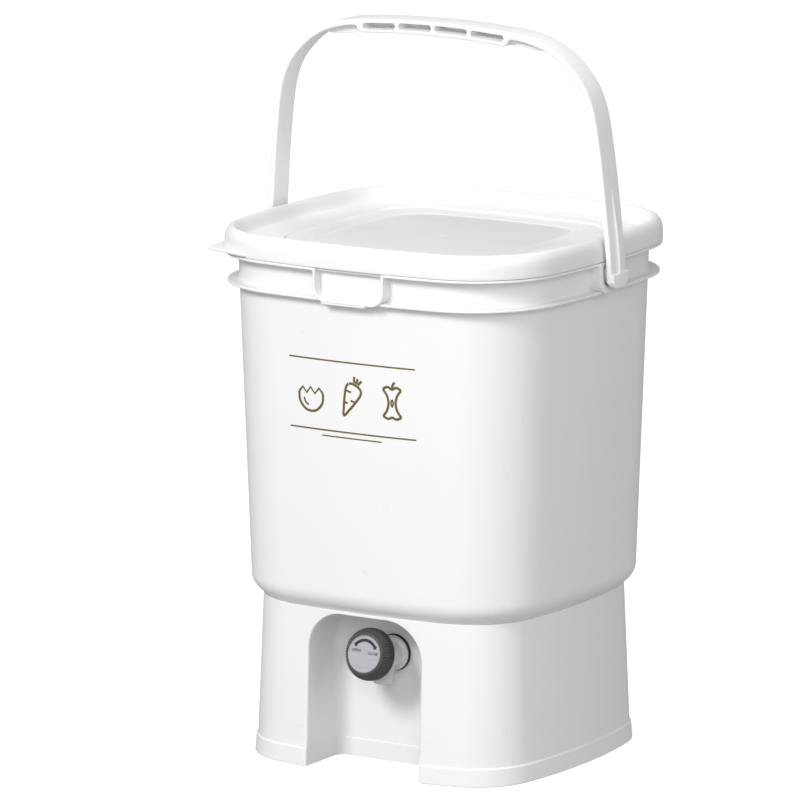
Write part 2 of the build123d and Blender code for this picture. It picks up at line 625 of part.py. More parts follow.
with BuildPart() as knob:
    with BuildSketch(STEM.offset(22.2)):
        Circle(KNOB_R)
    extrude(amount=7.6)
    with BuildSketch(STEM.offset(29.8)):
        Circle(KNOB_R)
    with BuildSketch(STEM.offset(35.0)):
        Circle(17.0)
    loft()
    with BuildSketch(STEM.offset(35.0)):
        Circle(16.6)
    extrude(amount=0.5)
    # finger grooves around the rim
    with BuildSketch(STEM.offset(21.0)):
        with PolarLocations(KNOB_R + 0.35, 54):
            Circle(0.8)
    extrude(amount=11.0, mode=Mode.SUBTRACT)
    # hollow behind, leaving the hub
    with BuildSketch(STEM.offset(22.0)):
        Circle(18.4)
        Circle(8.0, mode=Mode.SUBTRACT)
    extrude(amount=8.2, mode=Mode.SUBTRACT)
    with BuildSketch(STEM.offset(22.0)):                      # round then square socket
        Circle(4.75)
    extrude(amount=3.4, mode=Mode.SUBTRACT)
    with BuildSketch(STEM.offset(25.0)):
        Rectangle(6.5, 6.5)
    extrude(amount=5.6, mode=Mode.SUBTRACT)
    with BuildSketch(STEM.offset(30.0)):
        Circle(1.8)
    extrude(amount=4.0, mode=Mode.SUBTRACT)
    with BuildSketch(STEM.offset(31.6)):                      # screw recess and disc seat
        Circle(3.8)
    extrude(amount=5.0, mode=Mode.SUBTRACT)
    with BuildSketch(STEM.offset(34.2)):
        Circle(14.5)
    extrude(amount=2.0, mode=Mode.SUBTRACT)
knob.part.label = "knob"

with BuildPart() as knob_face:
    with BuildSketch(STEM.offset(34.2)):
        Circle(14.4)
    extrude(amount=1.1)
    chamfer(edges().filter_by(GeomType.CIRCLE).sort_by(Axis.Y)[0], 0.25)
knob_face.part.label = "knob_face"

with BuildPart() as knob_screw:
    with BuildSketch(STEM.offset(31.6)):
        Circle(3.5)
    extrude(amount=2.2)
    with BuildSketch(STEM.offset(21.0)):
        Circle(1.6)
    extrude(amount=11.0)
    for w, h in ((4.0, 0.9), (0.9, 4.0)):                     # cross recess
        with BuildSketch(STEM.offset(32.6)):
            Rectangle(w, h)
        extrude(amount=2.0, mode=Mode.SUBTRACT)
knob_screw.part.label = "knob_screw"

# ---------------------------------------------------------------- files
for name, piece in (
    ("bucket", vessel), ("stand", stand), ("lid", lid), ("lid_seal", lid_seal), ("handle", handle),
    ("pivot_pin_right", pin_right), ("pivot_pin_left", pin_left),
    ("strainer_plate", strainer), ("tap_body", tap_body), ("tap_gasket", tap_gasket), ("tap_washer", tap_washer),
    ("tap_nut", tap_nut), ("bonnet_nut", bonnet_nut), ("spindle", spindle), ("spindle_seals", spindle_seals),
    ("knob", knob), ("knob_face", knob_face), ("knob_screw", knob_screw),
):
    export_step(piece.part, "parts/" + name + ".step")
    print(name, round(piece.part.volume / 1000, 1), "cm3", len(piece.part.solids()), "solid(s)")
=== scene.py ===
import bpy, bmesh, math
from mathutils import Vector, Matrix


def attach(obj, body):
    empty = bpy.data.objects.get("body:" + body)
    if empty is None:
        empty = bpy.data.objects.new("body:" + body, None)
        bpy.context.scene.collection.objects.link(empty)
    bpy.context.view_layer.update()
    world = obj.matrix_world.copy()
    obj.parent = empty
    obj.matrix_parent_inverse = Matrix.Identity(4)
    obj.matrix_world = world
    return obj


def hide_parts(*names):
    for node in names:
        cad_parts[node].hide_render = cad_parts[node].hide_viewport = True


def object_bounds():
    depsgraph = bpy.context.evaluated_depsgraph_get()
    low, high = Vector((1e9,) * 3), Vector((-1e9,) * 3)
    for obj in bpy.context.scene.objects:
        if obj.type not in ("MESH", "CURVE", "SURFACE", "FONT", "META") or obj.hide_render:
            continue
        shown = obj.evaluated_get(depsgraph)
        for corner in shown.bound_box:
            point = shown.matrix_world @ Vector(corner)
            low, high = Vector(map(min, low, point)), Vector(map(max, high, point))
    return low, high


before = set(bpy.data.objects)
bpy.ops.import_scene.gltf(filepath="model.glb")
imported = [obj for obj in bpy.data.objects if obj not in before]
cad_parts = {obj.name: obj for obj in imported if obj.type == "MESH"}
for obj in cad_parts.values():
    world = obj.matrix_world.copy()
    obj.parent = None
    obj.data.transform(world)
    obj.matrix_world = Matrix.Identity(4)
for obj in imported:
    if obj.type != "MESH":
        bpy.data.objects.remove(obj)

cad_lo, cad_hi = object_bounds()
cad_lo, cad_hi = [float(v) for v in cad_lo], [float(v) for v in cad_hi]
MM = 0.001
coll = bpy.context.scene.collection

# ------------------------------------------------------------------ camera
az, el = math.radians(31.5), math.radians(11.1)
back = Vector((math.sin(az) * math.cos(el), -math.cos(az) * math.cos(el), math.sin(el)))
target = Vector((0, 0, 0.285))
cam_data = bpy.data.cameras.new("camera")
cam = bpy.data.objects.new("camera", cam_data)
coll.objects.link(cam)
cam.location = target + back * 6.069
cam.rotation_euler = (-back).to_track_quat('-Z', 'Y').to_euler()
cam_data.sensor_width = 36
cam_data.lens = 337.5
cam_data.shift_x = -0.055625
cam_data.clip_end = 100
bpy.context.scene.camera = cam
bpy.context.scene.view_settings.view_transform = "Standard"
bpy.context.scene.view_settings.look = "None"


# ------------------------------------------------------------------ plan curves (mm)
def plan(a, b, s, r, ns=22, nc=24):
    """Counter-clockwise points of a bowed square with rounded corners."""
    r1 = (a * a + s * s) / (2 * s)
    r2 = (b * b + s * s) / (2 * s)
    c1 = (0.0, b - r1)
    c2 = (a - r2, 0.0)
    d1, d2 = r1 - r, r2 - r
    d = math.hypot(c2[0] - c1[0], c2[1] - c1[1])
    m = (d1 * d1 - d2 * d2 + d * d) / (2 * d)
    h = math.sqrt(max(d1 * d1 - m * m, 0.0))
    ex, ey = (c2[0] - c1[0]) / d, (c2[1] - c1[1]) / d
    p = (c1[0] + m * ex, c1[1] + m * ey)
    c = max([(p[0] - h * ey, p[1] + h * ex), (p[0] + h * ey, p[1] - h * ex)], key=lambda q: q[0] + q[1])
    t1 = math.atan2(c[1] - c1[1], c[0] - c1[0])
    t2 = math.atan2(c[1] - c2[1], c[0] - c2[0])
    pi = math.pi
    arcs = [
        (c2, r2, -t2, t2, ns), (c, r, t2, t1, nc),
        (c1, r1, t1, pi - t1, ns), ((-c[0], c[1]), r, pi - t1, pi - t2, nc),
        ((-c2[0], 0), r2, pi - t2, pi + t2, ns), ((-c[0], -c[1]), r, pi + t2, pi + t1, nc),
        ((0, -c1[1]), r1, pi + t1, 2 * pi - t1, ns), ((c[0], -c[1]), r, 2 * pi - t1, 2 * pi - t2, nc)]
    out = []
    for cc, rr, a0, a1, n in arcs:
        for i in range(n):
            t = a0 + (a1 - a0) * i / n
            out.append((cc[0] + rr * math.cos(t), cc[1] + rr * math.sin(t)))
    return out


def vessel(a):
    k = a / 152.9
    return plan(a, a - 3.0, 16.3 * k, 77.0 * k)


def standp(a):
    k = a / 134.4
    return plan(a, a - 3.0, 19.0 * k, 56.0 * k)


def panelp(a):
    k = a / 106.0
    return plan(a, a - 1.0, 5.0 * k, 36.0 * k)


def front_y(x, a, ref, sag):
    """Y of the bowed front face at x, for a plan of half-width a."""
    k = a / ref
    b, s = a - 3.0, sag * k
    r1 = (a * a + s * s) / (2 * s)
    return -(b - r1 + math.sqrt(max(r1 * r1 - x * x, 1.0)))


def wall_a(z):
    return 137.0 + (145.2 - 137.0) * (z - 148.2) / (411.5 - 148.2)


def skirt_a(z):
    return 132.2 + (127.97 - 132.2) * (z - 15.1) / (129.2 - 15.1)


def rounded(pts, seg=5):
    """Polyline through (u, v, r) points with each corner of radius r turned into an arc."""
    out = []
    for i, (u, v, r) in enumerate(pts):
        if r <= 0 or i == 0 or i == len(pts) - 1:
            out.append((u, v))
            continue
        p = Vector((u, v))
        a = Vector(pts[i - 1][:2]) - p
        b = Vector(pts[i + 1][:2]) - p
        la, lb = a.length, b.length
        a.normalize(); b.normalize()
        ang = a.angle(b)
        if ang > math.radians(178):
            out.append((u, v))
            continue
        t = min(r / math.tan(ang / 2), 0.48 * la, 0.48 * lb)
        rr = t * math.tan(ang / 2)
        bis = (a + b).normalized()
        c = p + bis * (rr / math.sin(ang / 2))
        s, e = p + a * t, p + b * t
        s0, e0 = s - c, e - c
        tot = s0.angle(e0)
        sgn = 1 if s0.x * e0.y - s0.y * e0.x > 0 else -1
        for k in range(seg + 1):
            th = sgn * tot * k / seg
            q = Vector((s0.x * math.cos(th) - s0.y * math.sin(th), s0.x * math.sin(th) + s0.y * math.cos(th))) + c
            out.append((q.x, q.y))
    return out


def hold(pts, gap=0.7, longest=28.0):
    """Adds points close to both ends of long straight runs, and divides them."""
    out = [pts[0]]
    for p, q in zip(pts, pts[1:]):
        d = math.hypot(q[0] - p[0], q[1] - p[1])
        if d > 5 * gap:
            n = max(1, int(math.ceil((d - 2 * gap) / longest)))
            for k in range(n + 1):
                f = (gap + (d - 2 * gap) * k / n) / d
                out.append((p[0] + (q[0] - p[0]) * f, p[1] + (q[1] - p[1]) * f))
        out.append(q)
    return out


def smooth_path(pts, sub=4):
    """Catmull-Rom through the points."""
    P = [pts[0]] + list(pts) + [pts[-1]]
    out = []
    for i in range(1, len(P) - 2):
        p0, p1, p2, p3 = [Vector(q) for q in P[i - 1:i + 3]]
        for k in range(sub):
            t = k / sub
            q = 0.5 * ((2 * p1) + (p2 - p0) * t + (2 * p0 - 5 * p1 + 4 * p2 - p3) * t * t + (3 * p1 - p0 - 3 * p2 + p3) * t ** 3)
            out.append(tuple(q))
    out.append(tuple(pts[-1]))
    return out


# ------------------------------------------------------------------ mesh helpers (input mm)
def new_object(name, verts, faces):
    me = bpy.data.meshes.new(name)
    me.from_pydata([tuple(c * MM for c in v) for v in verts], [], faces)
    me.validate()
    bm = bmesh.new(); bm.from_mesh(me)
    bmesh.ops.recalc_face_normals(bm, faces=bm.faces)
    bm.to_mesh(me); bm.free()
    o = bpy.data.objects.new(name, me)
    coll.objects.link(o)
    return o


def rings_solid(name, rings):
    """Closed solid from rings of equal length, capped at both ends."""
    n = len(rings[0])
    verts = [v for r in rings for v in r]
    faces = []
    for i in range(len(rings) - 1):
        for j in range(n):
            k = (j + 1) % n
            faces.append((i * n + j, i * n + k, (i + 1) * n + k, (i + 1) * n + j))
    faces.append(tuple(reversed(range(n))))
    faces.append(tuple((len(rings) - 1) * n + j for j in range(n)))
    return new_object(name, verts, faces)


def loft(name, levels, fn):
    """Solid from (half-width, height) levels of a plan."""
    return rings_solid(name, [[(x, y, z) for x, y in fn(a)] for a, z in levels])


def loop_solid(name, rings):
    """Closed tube whose last ring joins its first."""
    n, m = len(rings[0]), len(rings)
    verts = [v for r in rings for v in r]
    faces = []
    for i in range(m):
        i2 = (i + 1) % m
        for j in range(n):
            k = (j + 1) % n
            faces.append((i * n + j, i * n + k, i2 * n + k, i2 * n + j))
    return new_object(name, verts, faces)


def box_solid(name, lo, hi, bevel=0.0, seg=3):
    o = new_object(name, [(x, y, z) for x in (lo[0], hi[0]) for y in (lo[1], hi[1]) for z in (lo[2], hi[2])],
                   [(0, 1, 3, 2), (4, 6, 7, 5), (0, 4, 5, 1), (2, 3, 7, 6), (0, 2, 6, 4), (1, 5, 7, 3)])
    if bevel:
        bevel_all(o, bevel, seg)
    return o


def bevel_all(o, w, seg=3):
    bm = bmesh.new(); bm.from_mesh(o.data)
    bmesh.ops.bevel(bm, geom=list(bm.edges), offset=w * MM, segments=seg, profile=0.5, affect='EDGES', clamp_overlap=True)
    bmesh.ops.recalc_face_normals(bm, faces=bm.faces)
    bm.to_mesh(o.data); bm.free()


def lathe(name, origin, x, y, d, prof, n=96):
    """Solid of revolution: prof is (radius, distance along d) pairs, first and last off the axis."""
    O, X, Y, D = Vector(origin), Vector(x), Vector(y), Vector(d)
    rings = []
    for r, h in prof:
        rings.append([tuple(O + D * h + (X * math.cos(2 * math.pi * i / n) + Y * math.sin(2 * math.pi * i / n)) * r) for i in range(n)])
    return rings_solid(name, rings)


def csg(a, b, op="DIFFERENCE", keep=False):
    m = a.modifiers.new("b", "BOOLEAN")
    m.operation = op
    m.object = b
    m.solver = "MANIFOLD"
    dg = bpy.context.evaluated_depsgraph_get()
    me = bpy.data.meshes.new_from_object(a.evaluated_get(dg))
    if not len(me.polygons):
        m.solver = "EXACT"
        dg = bpy.context.evaluated_depsgraph_get()
        me = bpy.data.meshes.new_from_object(a.evaluated_get(dg))
        print("exact boolean used on", a.name, "with", b.name)
    a.modifiers.clear()
    old = a.data
    a.data = me
    me.name = a.name
    bpy.data.meshes.remove(old)
    if not keep:
        bpy.data.objects.remove(b)
    return a


def tidy(o, angle=33.0, merge=0.002):
    bm = bmesh.new(); bm.from_mesh(o.data)
    bmesh.ops.remove_doubles(bm, verts=bm.verts, dist=merge * MM)
    bmesh.ops.dissolve_degenerate(bm, edges=bm.edges, dist=merge * MM)
    loose = [v for v in bm.verts if not v.link_faces]
    bmesh.ops.delete(bm, geom=loose, context='VERTS')
    bmesh.ops.recalc_face_normals(bm, faces=bm.faces)
    lim = math.radians(angle)
    bad = 0
    for f in bm.faces:
        f.smooth = True
    for e in bm.edges:
        if len(e.link_faces) == 2:
            e.smooth = e.calc_face_angle(0) < lim
        else:
            bad += 1
            e.smooth = False
    bm.to_mesh(o.data); bm.free()
    print("piece", o.name, "faces", len(o.data.polygons), "open edges", bad)
    return o


def assign(o, mat, body=None, slot=None, *nodes):
    o.data.materials.clear()
    o.data.materials.append(mat)
    if body:
        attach(o, body)
    if nodes:
        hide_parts(*nodes)
    return o


# ------------------------------------------------------------------ materials
def new_mat(name):
    m = bpy.data.materials.new(name)
    m.use_nodes = True
    nt = m.node_tree
    b = nt.nodes["Principled BSDF"]
    return m, nt, b


def noise(nt, scale, detail=3.0, rough=0.5, stretch=None):
    tc = nt.nodes.new("ShaderNodeTexCoord")
    n = nt.nodes.new("ShaderNodeTexNoise")
    n.inputs["Scale"].default_value = scale
    n.inputs["Detail"].default_value = detail
    n.inputs["Roughness"].default_value = rough
    if stretch:
        mp = nt.nodes.new("ShaderNodeMapping")
        mp.inputs["Scale"].default_value = stretch
        nt.links.new(tc.outputs["Object"], mp.inputs["Vector"])
        nt.links.new(mp.outputs["Vector"], n.inputs["Vector"])
    else:
        nt.links.new(tc.outputs["Object"], n.inputs["Vector"])
    return n


def ramp(nt, src, stops):
    r = nt.nodes.new("ShaderNodeValToRGB")
    els = r.color_ramp.elements
    while len(els) < len(stops):
        els.new(0.5)
    for e, (p, c) in zip(els, stops):
        e.position = p
        e.color = (*c, 1.0)
    nt.links.new(src, r.inputs[0])
    return r


def span(nt, src, lo, hi, a=0.3, b=0.7):
    m = nt.nodes.new("ShaderNodeMapRange")
    m.inputs["From Min"].default_value = a
    m.inputs["From Max"].default_value = b
    m.inputs["To Min"].default_value = lo
    m.inputs["To Max"].default_value = hi
    nt.links.new(src, m.inputs["Value"])
    return m


def bump(nt, b, src, strength, dist):
    bp = nt.nodes.new("ShaderNodeBump")
    bp.inputs["Strength"].default_value = strength
    bp.inputs["Distance"].default_value = dist
    nt.links.new(src, bp.inputs["Height"])
    nt.links.new(bp.outputs["Normal"], b.inputs["Normal"])
    return bp


def plastic(name, c0, c1, rough=(0.3, 0.4), grain=560.0, grain_h=0.00001, spec=0.5, sss=0.0):
    """Moulded plastic: faint flow clouding, fine mould grain, roughness that wanders a little."""
    m, nt, b = new_mat(name)
    n1 = noise(nt, 7.0, 4.0, 0.55, (1.0, 1.0, 0.45))
    r = ramp(nt, n1.outputs["Fac"], [(0.3, c0), (0.7, c1)])
    nt.links.new(r.outputs["Color"], b.inputs["Base Color"])
    n2 = noise(nt, 26.0, 5.0, 0.6)
    s = span(nt, n2.outputs["Fac"], rough[0], rough[1])
    nt.links.new(s.outputs["Result"], b.inputs["Roughness"])
    n3 = noise(nt, grain, 2.0, 0.5)
    bump(nt, b, n3.outputs["Fac"], 0.2, grain_h)
    b.inputs["Specular IOR Level"].default_value = spec
    b.inputs["IOR"].default_value = 1.49
    if sss:
        b.inputs["Subsurface Weight"].default_value = sss
        b.inputs["Subsurface Radius"].default_value = (0.004, 0.004, 0.004)
        b.inputs["Subsurface Scale"].default_value = 1.0
    return m


white = plastic("white_shell_plastic", (0.778, 0.768, 0.772), (0.80, 0.79, 0.794), (0.27, 0.36))
white_handle = plastic("handle_plastic", (0.80, 0.79, 0.794), (0.82, 0.81, 0.814), (0.25, 0.33))
tap_white = plastic("tap_plastic", (0.70, 0.695, 0.69), (0.73, 0.725, 0.72), (0.28, 0.38))
inner_white = plastic("inner_plastic", (0.83, 0.82, 0.82), (0.86, 0.85, 0.85), (0.35, 0.45), 900.0, 0.00003)
rubber = plastic("seal_rubber", (0.018, 0.018, 0.02), (0.032, 0.032, 0.034), (0.55, 0.72), 700.0, 0.00004, 0.4)


def milky():
    """Milky sheet: the thin middle is painted darker, a painted shade standing in for the dark inside seen through it,
    more toward the back; the back of the lid is painted a little darker too.
    """
    m, nt, b = new_mat("milky_lid_plastic")
    tc = nt.nodes.new("ShaderNodeTexCoord")
    sx = nt.nodes.new("ShaderNodeSeparateXYZ")
    nt.links.new(tc.outputs["Object"], sx.inputs[0])

    def math_node(op, a, b2=None, c=None):
        n = nt.nodes.new("ShaderNodeMath")
        n.operation = op
        for i, v in enumerate((a, b2, c)):
            if v is None:
                continue
            if isinstance(v, (int, float)):
                n.inputs[i].default_value = v
            else:
                nt.links.new(v, n.inputs[i])
        return n.outputs[0]
    ax = math_node("ABSOLUTE", sx.outputs[0])
    ay = math_node("ABSOLUTE", sx.outputs[1])
    # distance to the rounded square of the thin panel
    p = 4.2
    d = math_node("POWER", math_node("ADD", math_node("POWER", math_node("DIVIDE", ax, 0.090), p),
                                     math_node("POWER", math_node("DIVIDE", ay, 0.089), p)), 1.0 / p)
    inside = nt.nodes.new("ShaderNodeMapRange")
    inside.interpolation_type = "SMOOTHSTEP"
    inside.inputs["From Min"].default_value = 1.0
    inside.inputs["From Max"].default_value = 0.88
    nt.links.new(d, inside.inputs["Value"])
    painted_back_shade = nt.nodes.new("ShaderNodeMapRange")                  # painted shade, darker toward the back
    painted_back_shade.inputs["From Min"].default_value = -0.025
    painted_back_shade.inputs["From Max"].default_value = 0.065
    painted_back_shade.inputs["To Min"].default_value = 0.0
    painted_back_shade.inputs["To Max"].default_value = 1.0
    nt.links.new(sx.outputs[1], painted_back_shade.inputs["Value"])
    low = nt.nodes.new("ShaderNodeMapRange")                   # only the thin middle, not the rim above it
    low.inputs["From Min"].default_value = 0.4222
    low.inputs["From Max"].default_value = 0.4212
    nt.links.new(sx.outputs[2], low.inputs["Value"])
    n1 = noise(nt, 9.0, 4.0, 0.55)
    cloud = span(nt, n1.outputs["Fac"], 0.88, 1.1)
    # painted shade mask: the thin middle only, darker toward the back, with cloudy variation
    f = math_node("MULTIPLY", math_node("MULTIPLY", inside.outputs[0], painted_back_shade.outputs[0]),
                  math_node("MULTIPLY", low.outputs[0], cloud.outputs[0]))
    f.node.use_clamp = True
    r0 = ramp(nt, n1.outputs["Fac"], [(0.3, (0.768, 0.760, 0.766)), (0.7, (0.788, 0.781, 0.786))])
    # painted shade: the back of the lid is painted a little darker, as if less lit, so its rim shows against the white
    # behind it
    back_rim_shade = nt.nodes.new("ShaderNodeMapRange")
    back_rim_shade.inputs["From Min"].default_value = 0.125
    back_rim_shade.inputs["From Max"].default_value = 0.146
    nt.links.new(sx.outputs[1], back_rim_shade.inputs["Value"])
    back_shaded_tone = nt.nodes.new("ShaderNodeMix")
    back_shaded_tone.data_type = "RGBA"
    nt.links.new(back_rim_shade.outputs[0], back_shaded_tone.inputs["Factor"])
    nt.links.new(r0.outputs["Color"], back_shaded_tone.inputs["A"])
    back_shaded_tone.inputs["B"].default_value = (0.665, 0.657, 0.665, 1.0)
    # painted shade: the thin middle is mixed toward a grey that stands in for the shaded inside behind the sheet
    mix = nt.nodes.new("ShaderNodeMix")
    mix.data_type = "RGBA"
    nt.links.new(f, mix.inputs["Factor"])
    nt.links.new(back_shaded_tone.outputs["Result"], mix.inputs["A"])
    mix.inputs["B"].default_value = (0.635, 0.635, 0.655, 1.0)
    nt.links.new(mix.outputs["Result"], b.inputs["Base Color"])
    n2 = noise(nt, 30.0, 5.0, 0.6)
    s = span(nt, n2.outputs["Fac"], 0.30, 0.34)
    nt.links.new(s.outputs["Result"], b.inputs["Roughness"])
    n3 = noise(nt, 520.0, 2.0, 0.5)
    bump(nt, b, n3.outputs["Fac"], 0.2, 0.00001)
    b.inputs["IOR"].default_value = 1.5
    return m


milky_mat = milky()


def knob_material():
    m, nt, b = new_mat("knob_plastic")
    n1 = noise(nt, 55.0, 5.0, 0.6)
    r = ramp(nt, n1.outputs["Fac"], [(0.3, (0.060, 0.059, 0.059)), (0.7, (0.090, 0.088, 0.088))])
    nt.links.new(r.outputs["Color"], b.inputs["Base Color"])
    n2 = noise(nt, 240.0, 4.0, 0.6)
    s = span(nt, n2.outputs["Fac"], 0.32, 0.48)
    nt.links.new(s.outputs["Result"], b.inputs["Roughness"])
    n3 = noise(nt, 1900.0, 3.0, 0.6)
    bump(nt, b, n3.outputs["Fac"], 0.5, 0.00005)
    b.inputs["Specular IOR Level"].default_value = 0.2
    return m


def silver_material():
    """Satin silver label: faint brushing across and a light metallic fleck."""
    m, nt, b = new_mat("silver_face")
    n1 = noise(nt, 420.0, 3.0, 0.6, (0.08, 1.0, 1.0))
    r = ramp(nt, n1.outputs["Fac"], [(0.3, (0.37, 0.375, 0.405)), (0.7, (0.415, 0.42, 0.455))])
    nt.links.new(r.outputs["Color"], b.inputs["Base Color"])
    n2 = noise(nt, 900.0, 3.0, 0.6, (0.05, 1.0, 1.0))
    s = span(nt, n2.outputs["Fac"], 0.50, 0.60)
    nt.links.new(s.outputs["Result"], b.inputs["Roughness"])
    bump(nt, b, n2.outputs["Fac"], 0.2, 0.00001)
    b.inputs["Metallic"].default_value = 0.12
    return m


def ink_material(name, c0, c1):
    m, nt, b = new_mat(name)
    n1 = noise(nt, 300.0, 4.0, 0.6)
    r = ramp(nt, n1.outputs["Fac"], [(0.35, c0), (0.65, c1)])
    nt.links.new(r.outputs["Color"], b.inputs["Base Color"])
    n2 = noise(nt, 800.0, 3.0, 0.6)
    s = span(nt, n2.outputs["Fac"], 0.4, 0.55)
    nt.links.new(s.outputs["Result"], b.inputs["Roughness"])
    bump(nt, b, n2.outputs["Fac"], 0.2, 0.00001)
    return m


def steel_material():
    m, nt, b = new_mat("screw_steel")
    n1 = noise(nt, 300.0, 4.0, 0.6)
    r = ramp(nt, n1.outputs["Fac"], [(0.3, (0.52, 0.52, 0.53)), (0.7, (0.66, 0.66, 0.66))])
    nt.links.new(r.outputs["Color"], b.inputs["Base Color"])
    n2 = noise(nt, 700.0, 3.0, 0.6, (1, 1, 0.1))
    s = span(nt, n2.outputs["Fac"], 0.25, 0.4)
    nt.links.new(s.outputs["Result"], b.inputs["Roughness"])
    b.inputs["Metallic"].default_value = 1.0
    return m


knob_mat = knob_material()
silver_mat = silver_material()
dark_ink = ink_material("dial_ink", (0.018, 0.018, 0.02), (0.03, 0.03, 0.032))
olive_ink = ink_material("print_ink", (0.11, 0.08, 0.018), (0.14, 0.105, 0.028))
steel_mat = steel_material()


# ------------------------------------------------------------------ shared shapes
def u_outline(u0, u1, v0, v1, r, n=12):
    """Rounded lower corners, square top, counter-clockwise from the lower left corner."""
    pts = []
    for k in range(n + 1):
        t = math.pi + (math.pi / 2) * k / n
        pts.append((u0 + r + r * math.cos(t), v0 + r + r * math.sin(t)))
    for k in range(1, 8):
        pts.append((u0 + r + (u1 - u0 - 2 * r) * k / 8, v0))
    for k in range(n + 1):
        t = -math.pi / 2 + (math.pi / 2) * k / n
        pts.append((u1 - r + r * math.cos(t), v0 + r + r * math.sin(t)))
    pts.append((u1, v1))
    pts.append((u0, v1))
    return pts


def prism(name, outline_fn, levels, place):
    """Rings of an outline, inset by i at depth w, put in space by place(u, v, w)."""
    return rings_solid(name, [[place(u, v, w) for u, v in outline_fn(i)] for i, w in levels])


def quarter(r, n=5, t0=0.0, t1=90.0):
    """(inset, depth) pairs of a rounded edge of radius r, from the face inward."""
    out = []
    for k in range(n + 1):
        t = math.radians(t0 + (t1 - t0) * k / n)
        out.append((r * (1 - math.sin(t)), r * (1 - math.cos(t))))
    return out


# ------------------------------------------------------------------ bucket
def foot_arc(r, n=14):
    return [(120.0 + r * math.sin(math.radians(90.0 * i / n)), 148.2 - r * math.cos(math.radians(90.0 * i / n))) for i in range(n + 1)]


prof = [(120.0, 131.2), (126.9, 131.2), (127.3, 131.6)] + foot_arc(17.0)[5:] + rounded([
    (137.0, 148.2, 0), (wall_a(387.6), 387.6, 1.6), (152.9, 387.6, 1.0), (152.9, 390.1, 1.0), (wall_a(390.1), 390.1, 1.6),
    (145.2, 411.5, 1.6), (154.6, 411.5, 0.9), (154.6, 413.9, 0.9), (151.0, 413.9, 0)], 5)[1:]
bucket = loft("bucket_shell", hold(prof), vessel)
cut = box_solid("cut", (-28.0, -160.0, 390.1), (34.0, -142.8, 416.5))
csg(bucket, cut)


def pocket_out(i):
    return u_outline(-30.0 + i, 36.0 - i, 387.0 + i, 413.9, 12.0 - i)


def pocket_in(i):
    return u_outline(-27.6 + i, 33.6 - i, 388.9 + i, 422.0, 9.8 - i)


def at_front(y0):
    return lambda u, v, w: (u, y0 + w, v)


blk = prism("blk", pocket_out, [(0.9 - 0.9 * math.sin(math.radians(t)), 0.9 * (1 - math.cos(math.radians(t)))) for t in (0, 15, 30, 45, 60, 75, 90)] + [(0.0, 11.0)],
            at_front(-152.0))
csg(bucket, blk, "UNION")
csg(bucket, box_solid("blk", (-22.0, -151.6, 385.5), (18.8, -143.4, 388.4), 0.35), "UNION")      # small lip under the pocket
flare = [(-1.0, -1.0), (-0.86, -0.02)] + [(-0.8 * (1 - math.sin(math.radians(t))), 0.8 * (1 - math.cos(math.radians(t)))) for t in (15, 30, 45, 60, 75, 90)]
blk = prism("blk", pocket_in, flare + [(0.0, 9.2)], at_front(-152.0))
csg(bucket, blk)
# collar
blk = loft("blk", rounded([(151.6, 411.9, 0), (151.6, 427.0, 0.9), (148.0, 427.0, 0)], 5), vessel)
csg(bucket, blk, "UNION")
# pivot frames
for sx in (1, -1):
    def at_side(u, v, w, sx=sx):
        return (sx * (155.6 - w), sx * u, v)

    def fr_out(i):
        return u_outline(-17.0 + i, 17.0 - i, 387.6 + i, 413.9, 13.0 - i)

    def fr_in(i):
        return u_outline(-11.4 + i, 11.4 - i, 393.2 + i, 411.5, 10.2 - i)
    blk = prism("blk", fr_out, [(0.7 - 0.7 * math.sin(math.radians(t)), 0.7 * (1 - math.cos(math.radians(t)))) for t in (0, 22, 45, 67, 90)] + [(0.0, 11.5)], at_side)
    csg(bucket, blk, "UNION")
    blk = prism("blk", fr_in, [(-0.75, -1.0), (-0.6, -0.02)] + [(-0.6 * (1 - math.sin(math.radians(t))), 0.6 * (1 - math.cos(math.radians(t)))) for t in (22, 45, 67, 90)] + [(0.0, 9.9)], at_side)
    csg(bucket, blk)
    blk = lathe("blk", (sx * 144.5, 0, 404.5), (0, 1, 0), (0, 0, 1), (sx, 0, 0), [(8.2, 0.0), (8.2, 10.5), (8.0, 10.9), (7.6, 11.1)], 64)
    csg(bucket, blk, "UNION")
    blk = lathe("blk", (sx * 147.0, 0, 404.5), (0, 1, 0), (0, 0, 1), (sx, 0, 0), [(5.05, 0.0), (5.05, 8.1), (5.6, 8.7), (5.6, 10.0)], 64)
    csg(bucket, blk)


def sump_outline(x, y0, y1, rf, rb, n=10):
    pts = []
    for cx, cy, r, t0 in ((x - rb, y1 - rb, rb, 0), (-x + rb, y1 - rb, rb, 90), (-x + rf, y0 + rf, rf, 180), (x - rf, y0 + rf, rf, 270)):
        for k in range(n + 1):
            t = math.radians(t0 + 90.0 * k / n)
            pts.append((cx + r * math.cos(t), cy + r * math.sin(t)))
    return pts


rings = []
for i, z in [(2.5 * (1 - math.sin(math.radians(t))), 71.7 + 2.5 * (1 - math.cos(math.radians(t)))) for t in (0, 18, 36, 54, 72, 90)] + [(0.0, 100.0), (0.0, 132.2)]:
    rings.append([(x, y, z) for x, y in sump_outline(98.0 - i, -73.4 + i, 100.0 - i, 6.0 - i, 20.0 - i)])
csg(bucket, rings_solid("blk", rings), "UNION")
for px, py in ((112, 45), (-112, 45), (112, -45), (-112, -45)):
    csg(bucket, lathe("blk", (px, py, 124.7), (1, 0, 0), (0, 1, 0), (0, 0, 1), [(2.4, 0.0), (3.0, 0.8), (3.0, 7.5)], 32), "UNION")
